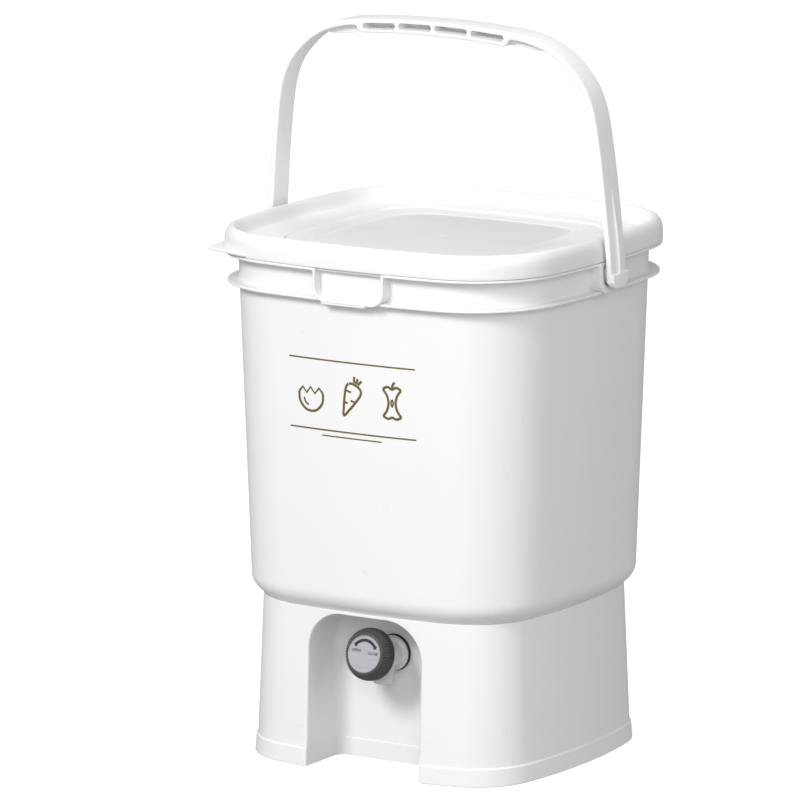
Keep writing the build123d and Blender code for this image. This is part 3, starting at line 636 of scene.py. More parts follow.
# hollows
blk = loft("blk", hold([(120.0 + 14.2 * math.sin(math.radians(t)), 148.2 - 14.2 * math.cos(math.radians(t))) for t in (0, 9, 18, 27, 36, 45, 54, 63, 72, 81, 90)]
                       + [(142.6, 414.2)]), vessel)
csg(bucket, blk)
blk = loft("blk", [(148.9, 413.9), (148.9, 426.2), (149.0, 426.6), (149.3, 427.0), (149.6, 428.0)], vessel)
csg(bucket, blk)
rings = []
for i, z in ((3.0, 74.5), (1.5, 74.9), (0.5, 75.8), (0.0, 77.2), (0.0, 100.0), (0.0, 137.2)):
    rings.append([(x, y, z) for x, y in sump_outline(95.2 - i, -70.6 + i, 97.2 - i, 3.2 - min(i, 2.6), 17.2 - i)])
csg(bucket, rings_solid("blk", rings))
csg(bucket, lathe("blk", (0, -80.0, 91.0), (1, 0, 0), (0, 0, 1), (0, 1, 0), [(10.8, 0.0), (10.8, 14.0)], 64))
tidy(bucket)
assign(bucket, white, "bin", "white_shell", "bucket")

# ------------------------------------------------------------------ stand
prof = hold(rounded([(130.0, 0.0, 0), (134.4, 0.0, 0.8), (133.4, 14.1, 0.5), (132.2, 15.3, 0.35), (127.92, 131.15, 0.55), (127.0, 131.15, 0.0), (120.5, 131.08, 0)], 6), 0.6)
stand = loft("stand_shell", prof, standp)
hollow = loft("hollow", [(129.63, -1.0), (129.0, 15.0), (125.4, 128.4)], standp)


def arch(o, z_low=-10.0, half=53.0, top=128.4, rc=32.0, ns=10, nc=22, nt=16):
    """Outline of the bay, grown by o, from the lower left up and over to the lower right."""
    h, t, r = half + o, top + o, rc + o
    pts = []
    for k in range(ns):
        pts.append((-h, z_low + (t - r - z_low) * k / ns))
    for k in range(nc + 1):
        a = math.pi - (math.pi / 2) * k / nc
        pts.append((-h + r + r * math.cos(a), t - r + r * math.sin(a)))
    for k in range(1, nt):
        pts.append((-h + r + (2 * h - 2 * r) * k / nt, t))
    for k in range(nc + 1):
        a = math.pi / 2 - (math.pi / 2) * k / nc
        pts.append((h - r + r * math.cos(a), t - r + r * math.sin(a)))
    for k in range(1, ns + 1):
        pts.append((h, t - r - (t - r - z_low) * k / ns))
    return pts


liner = rings_solid("liner", [[(x, y, z) for x, z in arch(2.6)] for y in (-160.0, -120.0, -73.4)])
csg(hollow, liner)
csg(stand, hollow)


def stand_front(x, z):
    if z < 15.1:
        a = 134.4 - 1.05 * max(0.0, z) / 15.1
    else:
        a = skirt_a(min(z, 131.2))
    return front_y(x, a, 134.4, 19.0)


base = arch(0.0)
rings = [[(x, -150.0, z) for x, z in arch(2.6)]]


def mouth_r(z):
    t = min(1.0, max(0.0, (z - 88.0) / 36.0))
    t = t * t * (3 - 2 * t)
    return 2.4 + (1.15 - 2.4) * t


def bay_ring(theta=None, extra=None, y=None):
    ring = []
    n = len(base)
    for (x, z), (gx, gz) in zip(base, arch(1.0)):
        nx, nz = gx - x, gz - z
        r = mouth_r(z)
        if theta is not None:
            o, t = r * (1 - math.cos(theta)), r * (1 - math.sin(theta))
        else:
            o, t = extra
            th = math.radians(80)
            o = r * (1 - math.cos(th)) + (r * (1 - math.sin(th)) + o) * math.tan(th)
            t = -t
        px, pz = x + nx * o, z + nz * o
        ring.append((px, stand_front(px, pz) + t, pz))
    return ring


rings = [[(x, -150.0, z) for x, y, z in bay_ring(extra=(0.12, 0.12))], bay_ring(extra=(0.12, 0.12))]
for th in (80, 68, 56, 44, 32, 20, 10, 0):
    rings.append(bay_ring(theta=math.radians(th)))
rings.append([(x, -105.0, z) for x, z in arch(0.0)])
for th in (0, 10, 20, 30, 40, 50, 60, 70, 80, 90):
    t = math.radians(th)
    o = -9.0 * (1 - math.cos(t))
    ring = []
    for (x, z) in arch(o):
        ring.append((x, -85.0 + 9.0 * math.sin(t), z if z > -9.9 else -10.0))
    rings.append(ring)
bay = rings_solid("bay", rings)
csg(stand, bay)
# band carried across the back of the bay
blk = rings_solid("blk", [[(-49.0, y, z), (49.0, y, z), (49.0, y2, z2), (-49.0, y2, z2)] for y, z, y2, z2 in ((-76.8, 0.0, -74.0, 0.0), (-76.8, 14.5, -74.0, 14.5), (-76.72, 14.85, -74.0, 14.85), (-76.5, 15.05, -74.0, 15.05), (-76.2, 15.1, -74.0, 15.1))])
csg(stand, blk, "UNION")
rings = []
for z in (130.4, 127.0):
    rings.append([(x, y, z) for x, y in sump_outline(98.0, -73.4, 100.0, 0.6, 20.0)])
rings = [[(x, y, 133.0) for x, y in sump_outline(98.6, -74.0, 100.6, 0.6, 20.6)], [(x, y, 131.0) for x, y in sump_outline(98.4, -73.8, 100.4, 0.6, 20.4)]] + rings
csg(stand, rings_solid("blk", rings))
for px, py in ((112, 45), (-112, 45), (112, -45), (-112, -45)):
    csg(stand, lathe("blk", (px, py, 127.0), (1, 0, 0), (0, 1, 0), (0, 0, 1), [(3.25, 0.0), (3.25, 6.0)], 32))
csg(stand, lathe("blk", (0, -84.0, 91.0), (1, 0, 0), (0, 0, 1), (0, 1, 0), [(10.8, 0.0), (10.8, 14.0)], 64))
for sx in (-1, 1):
    for yy in (-78.0, 0.0, 78.0):
        w0 = 123.0 if yy == 0 else 119.0
        tri = [(102.0, 128.9), (w0, 128.9), (w0 + 1.0, 88.4), (102.0, 122.4)]
        csg(stand, rings_solid("blk", [[(sx * x, yy + d, z) for x, z in tri] for d in (-1.0, 1.0)]), "UNION")
tidy(stand)
assign(stand, white, "bin", "white_shell", "stand")

# ------------------------------------------------------------------ lid
crest_out = [(154.4, 414.25), (154.85, 415.0), (154.85, 420.0), (154.7, 424.0), (154.15, 427.5), (153.1, 430.0), (151.8, 431.9), (150.4, 432.95), (149.0, 433.3)]
crest_in = [(149.0, 433.3), (147.9, 432.9), (146.8, 431.8), (145.9, 430.4), (145.1, 428.6), (144.4, 426.6), (143.5, 424.6), (142.3, 422.9), (140.9, 421.95), (139.2, 421.7)]
top_v = smooth_path(crest_out, 3)[:-1] + smooth_path(crest_in, 3)
rings = []
# underside, from the middle out
for a, z in ((20.0, 418.5), (60.0, 418.4), (103.0, 418.3), (107.0, 418.6), (108.5, 419.6)):
    rings.append([(x, y, z) for x, y in panelp(a)])
for a, z in ((141.0, 419.8), (143.6, 420.6), (145.6, 422.8), (147.0, 427.2), (148.0, 429.6), (149.4, 430.9), (151.0, 431.0), (151.9, 430.2), (152.4, 428.2), (152.5, 415.6), (152.8, 414.6), (153.4, 414.25)):
    rings.append([(x, y, z) for x, y in vessel(a)])
for a, z in hold(top_v, 0.7, 12.0):
    rings.append([(x, y, z) for x, y in vessel(a)])
pan = [(110.5, 421.7), (108.2, 421.74), (107.6, 422.3), (106.9, 422.8), (106.1, 422.8), (105.4, 422.2), (104.7, 421.4), (98.0, 420.95), (89.6, 420.62), (88.2, 420.75), (87.2, 421.0), (86.2, 420.95), (85.4, 420.6), (84.4, 420.3), (82.0, 420.22)]
for a, z in pan:
    rings.append([(x, y, z) for x, y in panelp(a)])
ref = panelp(82.0)
for f in (0.85, 0.6, 0.35, 0.15):
    rings.append([(x * f, y * f, 420.22 + 0.25 * (1 - f)) for x, y in ref])
for r, z in ((5.2, 420.46), (4.6, 420.45), (4.3, 420.3), (3.6, 420.28), (3.2, 420.5), (1.6, 420.62)):
    rings.append([(r * math.cos(math.atan2(y, x)), r * math.sin(math.atan2(y, x)), z) for x, y in ref])
lid = rings_solid("lid_shell", rings)


def tab_outline(o):
    """Pull tab: straight edges drawn out to a rounded tip past the front left corner."""
    A, T, B = Vector((-150.0, -86.0)), Vector((-141.8, -132.2)), Vector((-99.0, -146.5))
    ua, ub = (A - T).normalized(), (B - T).normalized()
    ang = ua.angle(ub)
    r = 5.0
    t = r / math.tan(ang / 2)
    c = T + (ua + ub).normalized() * (r / math.sin(ang / 2))
    s, e = T + ua * t - c, T + ub * t - c
    tot = s.angle(e)
    sg = 1 if s.x * e.y - s.y * e.x > 0 else -1
    pts = [A, A + (T - A) * 0.4]
    for k in range(13):
        th = sg * tot * k / 12
        pts.append(Vector((s.x * math.cos(th) - s.y * math.sin(th), s.x * math.sin(th) + s.y * math.cos(th))) + c)
    pts += [B + (T - B) * 0.4, B, Vector((-86.0, -128.0)), Vector((-128.0, -86.0))]
    out = []
    n = len(pts)
    for i, p in enumerate(pts):
        a, b = pts[i - 1], pts[(i + 1) % n]
        d = (b - a).normalized()
        nrm = Vector((d.y, -d.x))
        if nrm.dot(p - Vector((-118.0, -110.0))) > 0:
            nrm = -nrm
        out.append(p + nrm * o)
    return out


tab = rings_solid("tab", [[(p.x, p.y, z) for p in tab_outline(o)] for o, z in ((0.9, 415.4), (0.35, 415.6), (0.05, 416.1), (0.0, 416.5), (0.05, 417.1), (0.35, 417.6), (0.9, 417.8))])
csg(lid, tab, "UNION")
rib_pts = [(-0.0, 0.9), (0.0, 0.0)]
tidy(lid, 38.0)
assign(lid, milky_mat, "lid", "milky_lid", "lid")

# ------------------------------------------------------------------ handle
STRAP = [(162.5, 398.0), (161.8, 422.0), (159.6, 447.0), (156.6, 480.0), (152.7, 512.0), (148.3, 536.0),
         (140.9, 554.0), (129.4, 568.5), (111.8, 582.3), (87.0, 591.3), (54.0, 594.8), (18.0, 596.2), (0.0, 596.3)]
LEAN = math.radians(2.3)
PZ = 404.5
W2 = 12.1


def bail(x, y, z):
    """Handle's own upright plane to the shared frame: y is depth, rear positive."""
    h = z - PZ
    return (x, y * math.cos(LEAN) - h * math.sin(LEAN), PZ + h * math.cos(LEAN) + y * math.sin(LEAN))


def spline_points(pts, n):
    """Natural cubic spline by chord length, sampled evenly."""
    s = [0.0]
    for p, q in zip(pts, pts[1:]):
        s.append(s[-1] + math.hypot(q[0] - p[0], q[1] - p[1]))
    N = len(pts)

    def coeff(vals):
        h = [s[i + 1] - s[i] for i in range(N - 1)]
        A = [0.0] * N; B = [1.0] * N; C = [0.0] * N; D = [0.0] * N
        for i in range(1, N - 1):
            A[i], B[i], C[i] = h[i - 1], 2 * (h[i - 1] + h[i]), h[i]
            D[i] = 6 * ((vals[i + 1] - vals[i]) / h[i] - (vals[i] - vals[i - 1]) / h[i - 1])
        for i in range(1, N):
            w = A[i] / B[i - 1]
            B[i] -= w * C[i - 1]
            D[i] -= w * D[i - 1]
        M = [0.0] * N
        M[-1] = D[-1] / B[-1]
        for i in range(N - 2, -1, -1):
            M[i] = (D[i] - C[i] * M[i + 1]) / B[i]
        return h, M
    hx, Mx = coeff([p[0] for p in pts])
    hz, Mz = coeff([p[1] for p in pts])
    out = []
    for k in range(n + 1):
        u = s[-1] * k / n
        i = min(N - 2, max(j for j in range(N) if s[j] <= u + 1e-9))
        t0, t1 = u - s[i], s[i + 1] - u

        def ev(vals, h, M):
            H = h[i]
            v = M[i] * t1 ** 3 / (6 * H) + M[i + 1] * t0 ** 3 / (6 * H) + (vals[i] / H - M[i] * H / 6) * t1 + (vals[i + 1] / H - M[i + 1] * H / 6) * t0
            d = -M[i] * t1 ** 2 / (2 * H) + M[i + 1] * t0 ** 2 / (2 * H) + (vals[i + 1] - vals[i]) / H - (M[i + 1] - M[i]) * H / 6
            return v, d
        x, dx = ev([p[0] for p in pts], hx, Mx)
        z, dz = ev([p[1] for p in pts], hz, Mz)
        L = math.hypot(dx, dz)
        out.append((x, z, dx / L, dz / L))
    return out


full = STRAP + [(-x, z) for x, z in reversed(STRAP[:-1])]
path = spline_points(full, 900)


def grip_depth(x):
    """Depth of the bar below the outer edge, at x along the crown."""
    ax = abs(x)
    thin = 4.8 + (0.9 * max(0.0, min(1.0, (112.0 - ax) / 34.0)) if x > 0 else 0.0)
    if ax > 78.0:
        return thin
    zo = 596.3 - 1.75 * (ax / 54.0) ** 1.9
    low = 585.5 - 3.1 * (ax / 68.6) ** 2 - 0.7 * (1 + max(-1.0, min(1.0, x / 68.6)))
    deep = max(4.8, zo - low)
    if ax > 66.2:                       # rounded end of the bar, up to the strap
        t = (ax - 66.2) / (78.0 - 66.2)
        f = 0.0
        if t < 0.52:
            f = 1 - math.sqrt(max(0.0, 1 - (t / 0.52) ** 2)) * 0.55 - 0.45 * (1 - (t / 0.52)) if t > 0 else 0.0
            f = min(1.0, max(0.0, f))
            f = (t / 0.52) ** 2.2 * 0.86
        else:
            q = (t - 0.52) / 0.48
            f = 0.86 + 0.14 * (1 - (1 - q) ** 2)
        deep = deep + (thin - deep) * f
    return deep


stations = []
last = None
for i, (x, z, tx, tz) in enumerate(path):
    step = 1 if 60 < abs(x) < 82 and z > 560 else 4
    if i % step == 0 or i == len(path) - 1:
        stations.append((x, z, tx, tz))
rc = 1.7
rings = []
for x, z, tx, tz in stations:
    t = grip_depth(x) if z > 570 else 4.8
    nx, nz = -tz, tx                    # toward the inside of the bow
    ring = []
    r = min(rc, t * 0.45)
    for cx, cy, a0 in ((r, W2 - r, 90), (t - r, W2 - r, 0), (t - r, -W2 + r, -90), (r, -W2 + r, 180)):
        for k in range(6):
            a = math.radians(a0 + (90.0 if a0 == 90 else 90.0) * (k / 5.0) if a0 in (90,) else a0 + 90.0 * k / 5.0)
            ring.append((cx + r * math.cos(a), cy + r * math.sin(a)))
    ring2 = []
    # order: inner-rear corner, outer-rear corner, outer-front corner, inner-front corner
    corners = [(t - r, W2 - r, 0), (r, W2 - r, 90), (r, -W2 + r, 180), (t - r, -W2 + r, 270)]
    for cx, cy, a0 in corners:
        for k in range(7):
            a = math.radians(a0 + 90.0 * k / 6.0)
            ring2.append((cx + r * math.cos(a), cy + r * math.sin(a)))
        if a0 in (0, 180):
            nxt = corners[(corners.index((cx, cy, a0)) + 1) % 4]
    rings.append([bail(x + nx * d, y, z + nz * d) for d, y in ring2])
handle = rings_solid("handle_bail", rings)

web_top = [(111.5, 579.2), (86.0, 588.6), (54.0, 592.2)]


def web_outline(o):
    pts = []
    for k in range(61):
        x = -110.0 + 220.0 * k / 60
        lift = 5.0 * max(0.0, (abs(x) - 90.0) / 20.0) ** 2      # runs up into the strap
        pts.append((x, 585.3 - 9.7 * (x / 116.0) ** 2 + lift + o))
    pts += [(108.0, 583.0), (86.0, 588.6), (54.0, 591.8), (0.0, 592.6), (-54.0, 591.8), (-86.0, 588.6), (-108.0, 583.0)]
    return pts


lev = [(0.7 - 0.7 * math.sin(math.radians(t)), 0.7 * (1 - math.cos(math.radians(t)))) for t in (0, 30, 60, 90)]
rings = [[bail(x, -4.2 + w, z) for x, z in web_outline(i)] for i, w in lev] + [[bail(x, 4.2 - w, z) for x, z in web_outline(i)] for i, w in reversed(lev)]
csg(handle, rings_solid("blk", rings), "UNION")


def slot_outline(xc, zc, ang, o, L=30.6, H=5.4, r=2.25):
    ca, sa = math.cos(math.radians(ang)), math.sin(math.radians(ang))
    pts = []
    l2, h2, rr = L / 2 + o, H / 2 + o, r + o
    for cx, cz, a0 in ((l2 - rr, h2 - rr, 0), (-l2 + rr, h2 - rr, 90), (-l2 + rr, -h2 + rr, 180), (l2 - rr, -h2 + rr, 270)):
        for k in range(7):
            a = math.radians(a0 + 15.0 * k)
            u, v = cx + rr * math.cos(a), cz + rr * math.sin(a)
            pts.append((xc + u * ca - v * sa, zc + u * sa + v * ca))
    return pts


for xc, zc, ang in ((-50.2, 589.2, 3.3), (-16.4, 590.8, 1.0), (17.3, 590.7, -1.5), (51.2, 588.9, -4.0)):
    for sgn in (-1, 1):
        lev = [(0.66, -1.0), (0.52, 0.0)] + [(0.5 * (1 - math.sin(math.radians(t))), 0.5 * (1 - math.cos(math.radians(t)))) for t in (20, 40, 65, 90)] + ([(0.0, 15.0), (-0.3, 15.6), (-0.8, 15.8)] if sgn < 0 else [(0.0, 6.0), (-0.3, 6.6), (-0.8, 6.9)])
        rings = [[bail(x, sgn * (W2 - w), z) for x, z in slot_outline(xc, zc, ang, o)] for o, w in lev]
        csg(handle, rings_solid("blk", rings))

for sx in (1, -1):
    # eye: thick half-round block round the pivot, with eased edges
    def eye_outline(i):
        r = W2 - i
        pts = [(r, 0.6 - 1.8 * i)]
        for k in range(1, 36):
            a = -math.pi * k / 36
            c, sn = math.cos(a), math.sin(a)
            pts.append((math.copysign(abs(c) ** 0.8, c) * r, -abs(sn) ** 0.8 * r))
        pts.append((-r, 0.6 - 1.8 * i))
        return pts
    e = 1.0
    lev = [(e * (1 - math.sin(math.radians(t))), e * (1 - math.cos(math.radians(t)))) for t in (0, 22, 45, 67, 90)]
    rings = [[bail(sx * (165.0 - w), u * sx, PZ + v) for u, v in eye_outline(i)] for i, w in lev]
    lev2 = [(1.7 * (1 - math.sin(math.radians(t))), 1.7 * (1 - math.cos(math.radians(t)))) for t in (0, 18, 36, 54, 72, 90)]
    rings += [[bail(sx * (157.5 + w), u * sx, PZ + v) for u, v in eye_outline(i)] for i, w in reversed(lev2)]
    csg(handle, rings_solid("blk", rings), "UNION")
    # socket for the pivot pin
    P0 = bail(sx * 156.9, 0, PZ)
    rear_v = (0, math.cos(LEAN), math.sin(LEAN))
    up_v = (0, -math.sin(LEAN), math.cos(LEAN))
    csg(handle, lathe("blk", P0, rear_v, up_v, (sx, 0, 0), [(5.05, 0.0), (5.05, 5.5)], 48))
tidy(handle, 36.0)
assign(handle, white_handle, "handle", "white_shell", "handle")


def strap_x(z):
    """Outer face of the strap at a height, before the lean."""
    for (xa, za, _, _), (xb, zb, _, _) in zip(path, path[1:]):
        if za <= z <= zb:
            return xa + (xb - xa) * (z - za) / (zb - za)
    return path[0][0]


# tapering rib down each outer face
for sx, side in ((1, "right"), (-1, "left")):
    rings = []
    for k in range(31):
        z = 475.0 - (475.0 - 404.9) * k / 30
        t = k / 30
        proud = -0.25 + 2.55 * min(1.0, t / 0.45) ** 0.8
        w = 0.7 + 0.95 * min(1.0, t / 0.5)
        xs = strap_x(z)
        xo = min(xs + proud, 164.9)
        sec = [(xs - 1.2, -w - 0.25), (xo - 0.5, -w - 0.05), (xo - 0.15, -w + 0.25), (xo, -w + 0.65), (xo, w - 0.65), (xo - 0.15, w - 0.25), (xo - 0.5, w + 0.05), (xs - 1.2, w + 0.25)]
        rings.append([bail(sx * x, y, z) for x, y in sec])
    rib = rings_solid("handle_rib_" + side, rings)
    tidy(rib, 40.0)
    assign(rib, white_handle, "handle", "white_shell")

# ------------------------------------------------------------------ tap
TILT = math.radians(12.0)
SO = Vector((0, -88.5, 91.0))
SD = Vector((0, -math.cos(TILT), math.sin(TILT)))
SX = Vector((1, 0, 0))
SY = SD.cross(SX)


def level(name, prof, n=96):
    """Turned about the level spigot axis; distances are -Y from Y = 0."""
    return lathe(name, (0, 0, 91.0), (1, 0, 0), (0, 0, 1), (0, -1, 0), prof, n)


tap = level("tap_shell", [(9.9, 53.8), (10.4, 54.4)] + [p for k in range(7) for p in ((10.4, 55.0 + 2.2 * k), (9.6, 55.7 + 2.2 * k), (9.6, 56.3 + 2.2 * k), (10.4, 57.0 + 2.2 * k))] + [(10.4, 78.8)] +
            rounded([(10.4, 78.8, 0), (14.4, 78.8, 0.4), (14.4, 82.4, 1.0), (11.0, 82.4, 0.9), (11.0, 89.0, 0)], 5)[1:])
barrel = lathe("barrel", SO, SX, SY, SD, rounded([(8.0, -4.5, 0), (11.3, -4.5, 1.6), (11.3, 19.0, 0.8), (8.0, 19.0, 0)], 6))
csg(tap, barrel, "UNION")
spout = lathe("spout", (0, -94.0, 69.3), (1, 0, 0), (0, 1, 0), (0, 0, 1),
              [(7.4, 0.0), (7.95, 0.2), (8.2, 0.7), (8.2, 7.9), (8.35, 8.35), (8.75, 8.5), (8.9, 8.8), (8.9, 20.0)], 80)
csg(tap, spout, "UNION")
csg(tap, level("blk", [(5.8, 50.0), (5.8, 87.0)]))
csg(tap, lathe("blk", SO, SX, SY, SD, [(7.05, -2.4), (7.05, 18.2), (7.4, 18.7), (7.4, 20.0)]))
csg(tap, lathe("blk", (0, -94.0, 68.0), (1, 0, 0), (0, 1, 0), (0, 0, 1), [(5.6, 0.0), (5.6, 1.5), (5.2, 1.9), (5.2, 22.0)], 64))
tidy(tap)
assign(tap, tap_white, "bin", "tap_white", "tap_body")

gasket = loop_solid("tap_gasket_ring", [[(r * math.cos(2 * math.pi * i / 96), -76.0 - w, 91.0 + r * math.sin(2 * math.pi * i / 96)) for i in range(96)]
                                        for r, w in ((10.6, 0.0), (14.9, 0.0), (15.1, 0.3), (15.15, 1.4), (15.1, 2.5), (14.9, 2.8), (10.6, 2.8))])
tidy(gasket)
assign(gasket, rubber, "bin", "seal_rubber", "tap_gasket")

# knob: fluted grip, bevelled front with finer ridges
FL = 54


def flute(phase):
    """0 on a land, 1 at the bottom of a groove."""
    p = (phase % 1.0)
    d = abs(p - 0.5) * 2
    return max(0.0, 1 - (d / 0.62) ** 2) ** 0.5 if d < 0.62 else 0.0


def knob_ring(r, depth, D, n=FL * 10):
    pts = []
    for i in range(n):
        a = 2 * math.pi * i / n
        rr = r - depth * flute(i * FL / n)
        pts.append(tuple(SO + SD * D + (SX * math.cos(a) + SY * math.sin(a)) * rr))
    return pts


kp = [(8.2, 0, 22.2), (8.4, 0, 30.1), (18.2, 0, 30.1), (18.4, 0, 22.2), (20.4, 0, 22.2), (20.9, 0.3, 22.35), (21.2, 0.9, 22.8), (21.3, 1.1, 23.4), (21.3, 1.1, 26.5), (21.3, 1.1, 29.0),
      (21.1, 1.05, 29.7), (20.75, 1.0, 30.3), (19.6, 0.85, 31.9), (18.4, 0.65, 33.5), (17.5, 0.35, 34.6), (17.05, 0.0, 35.1), (16.7, 0.0, 35.4), (16.2, 0.0, 35.5), (15.5, 0.0, 35.5), (15.3, 0.0, 35.4), (15.2, 0.0, 35.1), (15.2, 0.0, 34.2), (4.2, 0.0, 34.2), (3.8, 0, 34.0), (3.8, 0, 31.6), (1.9, 0, 31.6), (1.8, 0, 30.2), (5.0, 0, 29.8), (5.0, 0, 22.6), (5.4, 0, 22.2)]
knob = loop_solid("knob_shell", [knob_ring(r, d, D) for r, d, D in kp])
tidy(knob, 40.0, 0.0005)
assign(knob, knob_mat, "tap_knob", "knob_grey", "knob")

disc = lathe("knob_disc", SO, SX, SY, SD, [(14.4, 34.2), (14.95, 34.25), (15.05, 34.5), (15.05, 35.3), (14.98, 35.6), (14.75, 35.78), (14.45, 35.7), (14.2, 35.4), (14.05, 35.18), (8.0, 35.17), (1.0, 35.18)], 128)
tidy(disc)
assign(disc, silver_mat, "tap_knob", "face_silver", "knob_face")


def disc_point(r, a, h):
    return tuple(SO + SD * h + (SX * math.cos(a) + SY * math.sin(a)) * r)


# turn arc with a head at each end, raised on the disc
a0, a1 = math.radians(34), math.radians(140)
sect = [(9.95, 35.1), (9.95, 35.28), (10.2, 35.33), (12.2, 35.33), (12.45, 35.28), (12.45, 35.1)]
n = 44
rings = [[disc_point(r, a0 + (a1 - a0) * i / n, h) for r, h in sect] for i in range(n + 1)]
arc = rings_solid("dial_arc", rings)
for a, sg in ((a0, -1), (a1, 1)):
    tip = a + sg * math.radians(9.5)
    tri = [(8.7, a), (13.5, a), (11.2, tip)]
    csg(arc, rings_solid("blk", [[disc_point(r, t, h) for r, t in tri] for h in (35.1, 35.33)]), "UNION")
tidy(arc, 30, 0.0005)
assign(arc, dark_ink, "tap_knob", "knob_grey")


def lettering(name, text, u, v, size, rot):
    cu = bpy.data.curves.new(name, "FONT")
    cu.body = text
    cu.size = size * MM
    cu.extrude = 0.06 * MM
    cu.offset = 0.035 * MM
    cu.resolution_u = 3
    cu.align_x = "CENTER"
    cu.align_y = "CENTER"
    o = bpy.data.objects.new(name, cu)
    coll.objects.link(o)
    R = Matrix((SX, SY, SD)).transposed().to_4x4()
    Rz = Matrix.Rotation(math.radians(rot), 4, "Z")
    P = (SO + SD * 35.24 + SX * u + SY * v) * MM
    dg = bpy.context.evaluated_depsgraph_get()
    me = bpy.data.meshes.new_from_object(o.evaluated_get(dg))
    bpy.data.objects.remove(o)
    me.transform(Matrix.Translation(P) @ R @ Rz)
    q = bpy.data.objects.new(name, me)
    coll.objects.link(q)
    tidy(q, 30, 0.0005)
    assign(q, dark_ink, "tap_knob", "knob_grey")
    return q


lettering("dial_open", "OPEN", -8.0, 2.4, 3.3, 0)
lettering("dial_close", "CLOSE", 7.9, 1.0, 3.1, 0)


# ------------------------------------------------------------------ print on the front: kitchen scraps in a row
def on_wall(x, z, h):
    """Point of the bucket's front at x, z, raised by h."""
    return (x, front_y(x, wall_a(z), 152.9, 16.3) - h, z)


ribbons = []


def ribbon(pts, w, closed=False):
    """Strip of width w along the points, a hair proud of the wall."""
    n = len(pts)
    L, R = [], []
    for i in range(n):
        if closed:
            p, q = Vector(pts[i - 1]), Vector(pts[(i + 1) % n])
        else:
            p, q = Vector(pts[max(0, i - 1)]), Vector(pts[min(n - 1, i + 1)])
        d = (q - p).normalized()
        m = Vector((-d.y, d.x)) * (w / 2)
        L.append(Vector(pts[i]) + m)
        R.append(Vector(pts[i]) - m)
    rings = []
    for l, r in zip(L, R):
        rings.append([on_wall(l.x, l.y, -0.05), on_wall(l.x, l.y, 0.09), on_wall(r.x, r.y, 0.09), on_wall(r.x, r.y, -0.05)])
    ribbons.append((rings, closed))


def curve2(pts, closed=False, sub=8):
    P = list(pts)
    n = len(P)
    out = []
    rng = range(n) if closed else range(n - 1)
    for i in rng:
        if closed:
            p0, p1, p2, p3 = [Vector(P[(i + k) % n]) for k in (-1, 0, 1, 2)]
        else:
            p0, p1, p2, p3 = Vector(P[max(0, i - 1)]), Vector(P[i]), Vector(P[i + 1]), Vector(P[min(n - 1, i + 2)])
        for k in range(sub):
            t = k / sub
            q = 0.5 * ((2 * p1) + (p2 - p0) * t + (2 * p0 - 5 * p1 + 4 * p2 - p3) * t * t + (3 * p1 - p0 - 3 * p2 + p3) * t ** 3)
            out.append((q.x, q.y))
    if not closed:
        out.append(tuple(P[-1]))
    return out


def place(pts, cx, cz, s=1.0, rot=0.0):
    c, d = math.cos(math.radians(rot)), math.sin(math.radians(rot))
    return [(cx + s * (x * c - z * d), cz + s * (x * d + z * c)) for x, z in pts]


PX, PZ0, LW = -2.0, 309.0, 2.1
# egg shell half
def motif_egg(cx, cz, s):
    ribbon(curve2(place([(-11, 1), (-10.2, -6), (-5.5, -11.5), (0, -13), (5.5, -11.5), (10.2, -6), (11, 1)], cx, cz, s)), LW)
    ribbon(place([(-11, 1), (-7.5, 5), (-4, 0.8), (-0.4, 5.4), (3.4, 0.6), (7.2, 5), (11, 1)], cx, cz, s), LW)
    ribbon(curve2(place([(-6.5, -3), (-5.2, -6.4), (-2.4, -8.6)], cx, cz, s)), LW * 0.8)


# carrot with a cut top
def motif_carrot(cx, cz, s):
    ribbon(curve2(place([(-5.6, 8.4), (-6.6, 5.4), (-5.2, -1), (-2.6, -9), (0, -15), (2.6, -9), (5.2, -1), (6.6, 5.4), (5.6, 8.4), (2.6, 10), (-2.6, 10)], cx, cz, s, -24), True), LW)
    ribbon(place([(-5.4, 3.0), (-1.2, 3.6)], cx, cz, s, -24), LW * 0.8)
    ribbon(place([(4.4, -1.6), (0.8, -2.2)], cx, cz, s, -24), LW * 0.8)
    ribbon(place([(-3.2, -5.6), (-0.6, -5.2)], cx, cz, s, -24), LW * 0.8)
    for a in (-3.4, 0.0, 3.4):
        ribbon(place([(a * 0.5, 11.4), (a, 15.6)], cx, cz, s, -24), LW)


# apple core
def motif_core(cx, cz, s):
    ribbon(curve2(place([(-7.5, 10), (-4.2, 5.5), (-2.9, 0), (-4.2, -5.5), (-7.5, -10)], cx, cz, s)), LW)
    ribbon(curve2(place([(7.5, 10), (4.2, 5.5), (2.9, 0), (4.2, -5.5), (7.5, -10)], cx, cz, s)), LW)
    ribbon(curve2(place([(-7.5, 10), (-3.6, 11.8), (0, 10.2), (3.6, 11.8), (7.5, 10)], cx, cz, s)), LW)
    ribbon(curve2(place([(-7.5, -10), (-3.6, -11.6), (0, -10.6), (3.6, -11.6), (7.5, -10)], cx, cz, s)), LW)
    ribbon(curve2(place([(0, 10.2), (0.6, 13.2), (2.4, 15.6)], cx, cz, s)), LW)
    ribbon(curve2(place([(0, 2.6), (0.9, 0), (0, -2.6), (-0.9, 0)], cx, cz, s), True), LW * 0.7)


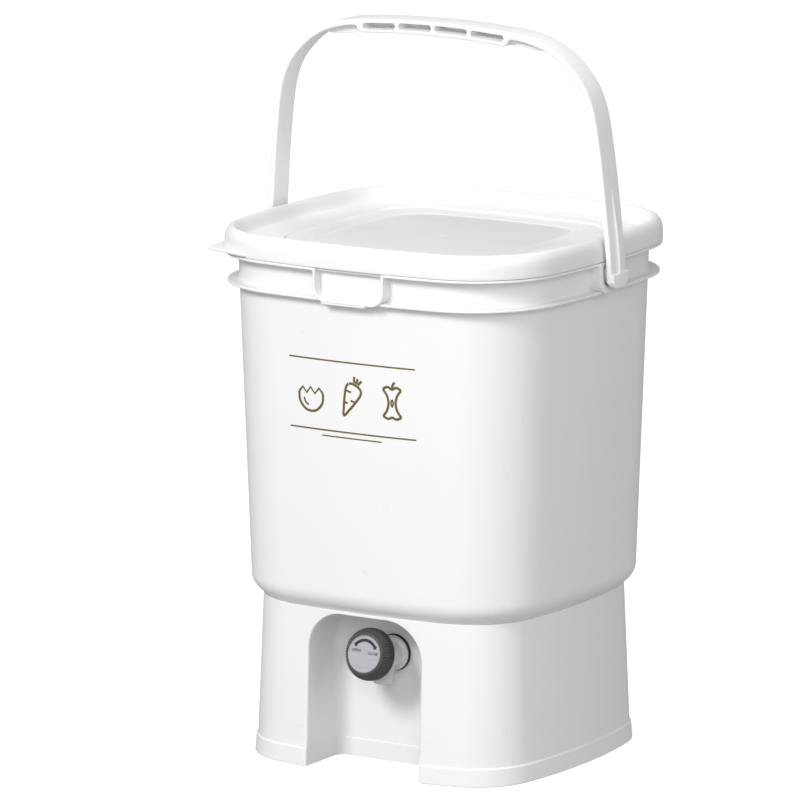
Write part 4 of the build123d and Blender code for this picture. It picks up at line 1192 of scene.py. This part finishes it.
motif_egg(PX - 38.0, PZ0, 1.06)
motif_carrot(PX, PZ0 + 1.0, 1.1)
motif_core(PX + 38.0, PZ0, 1.1)
for zz in (PZ0 + 29.0, PZ0 - 28.0):
    ribbon([(PX - 59.0 + 118.0 * k / 48, zz) for k in range(49)], 1.3)
for zz in (PZ0 - 32.5,):
    ribbon([(PX - 28.0 + 56.0 * k / 28, zz) for k in range(29)], 1.1)
verts, faces = [], []
for rings, closed in ribbons:
    b0 = len(verts)
    for r in rings:
        verts += r
    m = len(rings)
    for i in range(m if closed else m - 1):
        i2 = (i + 1) % m
        for j in range(4):
            k = (j + 1) % 4
            faces.append((b0 + i * 4 + j, b0 + i * 4 + k, b0 + i2 * 4 + k, b0 + i2 * 4 + j))
    if not closed:
        faces.append(tuple(b0 + j for j in (3, 2, 1, 0)))
        faces.append(tuple(b0 + (m - 1) * 4 + j for j in range(4)))
motif = new_object("front_motif", verts, faces)
tidy(motif, 30, 0.0002)
assign(motif, olive_ink, "bin", "white_shell")

# ------------------------------------------------------------------ CAD nodes that stay
keep = {"lid_seal": rubber, "strainer_plate": inner_white, "tap_washer": rubber, "tap_nut": tap_white, "bonnet_nut": tap_white,
        "spindle": tap_white, "spindle_seals": rubber, "knob_screw": steel_mat, "pivot_pin_right": white_handle, "pivot_pin_left": white_handle}
for name, mat in keep.items():
    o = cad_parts.get(name)
    if o is None:
        continue
    o.data.materials.clear()
    o.data.materials.append(mat)

# ------------------------------------------------------------------ floor, light
fm, nt, b = new_mat("floor_paper")
n1 = noise(nt, 3.0, 3.0, 0.5)
r = ramp(nt, n1.outputs["Fac"], [(0.3, (0.30, 0.30, 0.30)), (0.7, (0.31, 0.31, 0.31))])
nt.links.new(r.outputs["Color"], b.inputs["Base Color"])
b.inputs["Roughness"].default_value = 0.9
b.inputs["Specular IOR Level"].default_value = 0.0
b.inputs["Emission Color"].default_value = (1.0, 1.0, 1.0, 1.0)
b.inputs["Emission Strength"].default_value = 0.93
me = bpy.data.meshes.new("floor")
S = 30.0
me.from_pydata([(-S, -S, 0), (S, -S, 0), (S, S, 0), (-S, S, 0)], [], [(0, 1, 2, 3)])
floor = bpy.data.objects.new("floor", me)
coll.objects.link(floor)
me.materials.append(fm)
floor.visible_diffuse = False        # the paper is lit apart from the object, so it throws no light up at it
floor.visible_glossy = False

w = bpy.data.worlds.new("studio")
bpy.context.scene.world = w
w.use_nodes = True
w.node_tree.nodes["Background"].inputs[0].default_value = (1.0, 1.0, 1.0, 1.0)
w.node_tree.nodes["Background"].inputs[1].default_value = 0.41


def area(name, loc, at, size, power, size_y=None, col=(1, 1, 1)):
    L = bpy.data.lights.new(name, "AREA")
    L.energy = power
    L.color = col
    L.shape = "RECTANGLE"
    L.size = size
    L.size_y = size_y or size
    o = bpy.data.objects.new(name, L)
    coll.objects.link(o)
    o.location = loc
    o.rotation_euler = (Vector(at) - Vector(loc)).to_track_quat("-Z", "Y").to_euler()
    return o


area("key", (-0.4, -2.7, 2.1), (0, 0, 0.2), 0.85, 72.0, 0.85)
area("fill_front", (1.5, -2.9, 1.3), (0, 0, 0.3), 1.6, 33.0, 1.6)
area("fill_side", (3.0, -0.6, 1.5), (0, 0, 0.3), 1.6, 20.0, 1.6)
area("top", (-0.1, 0.25, 2.5), (0, 0, 0.4), 1.0, 14.5)
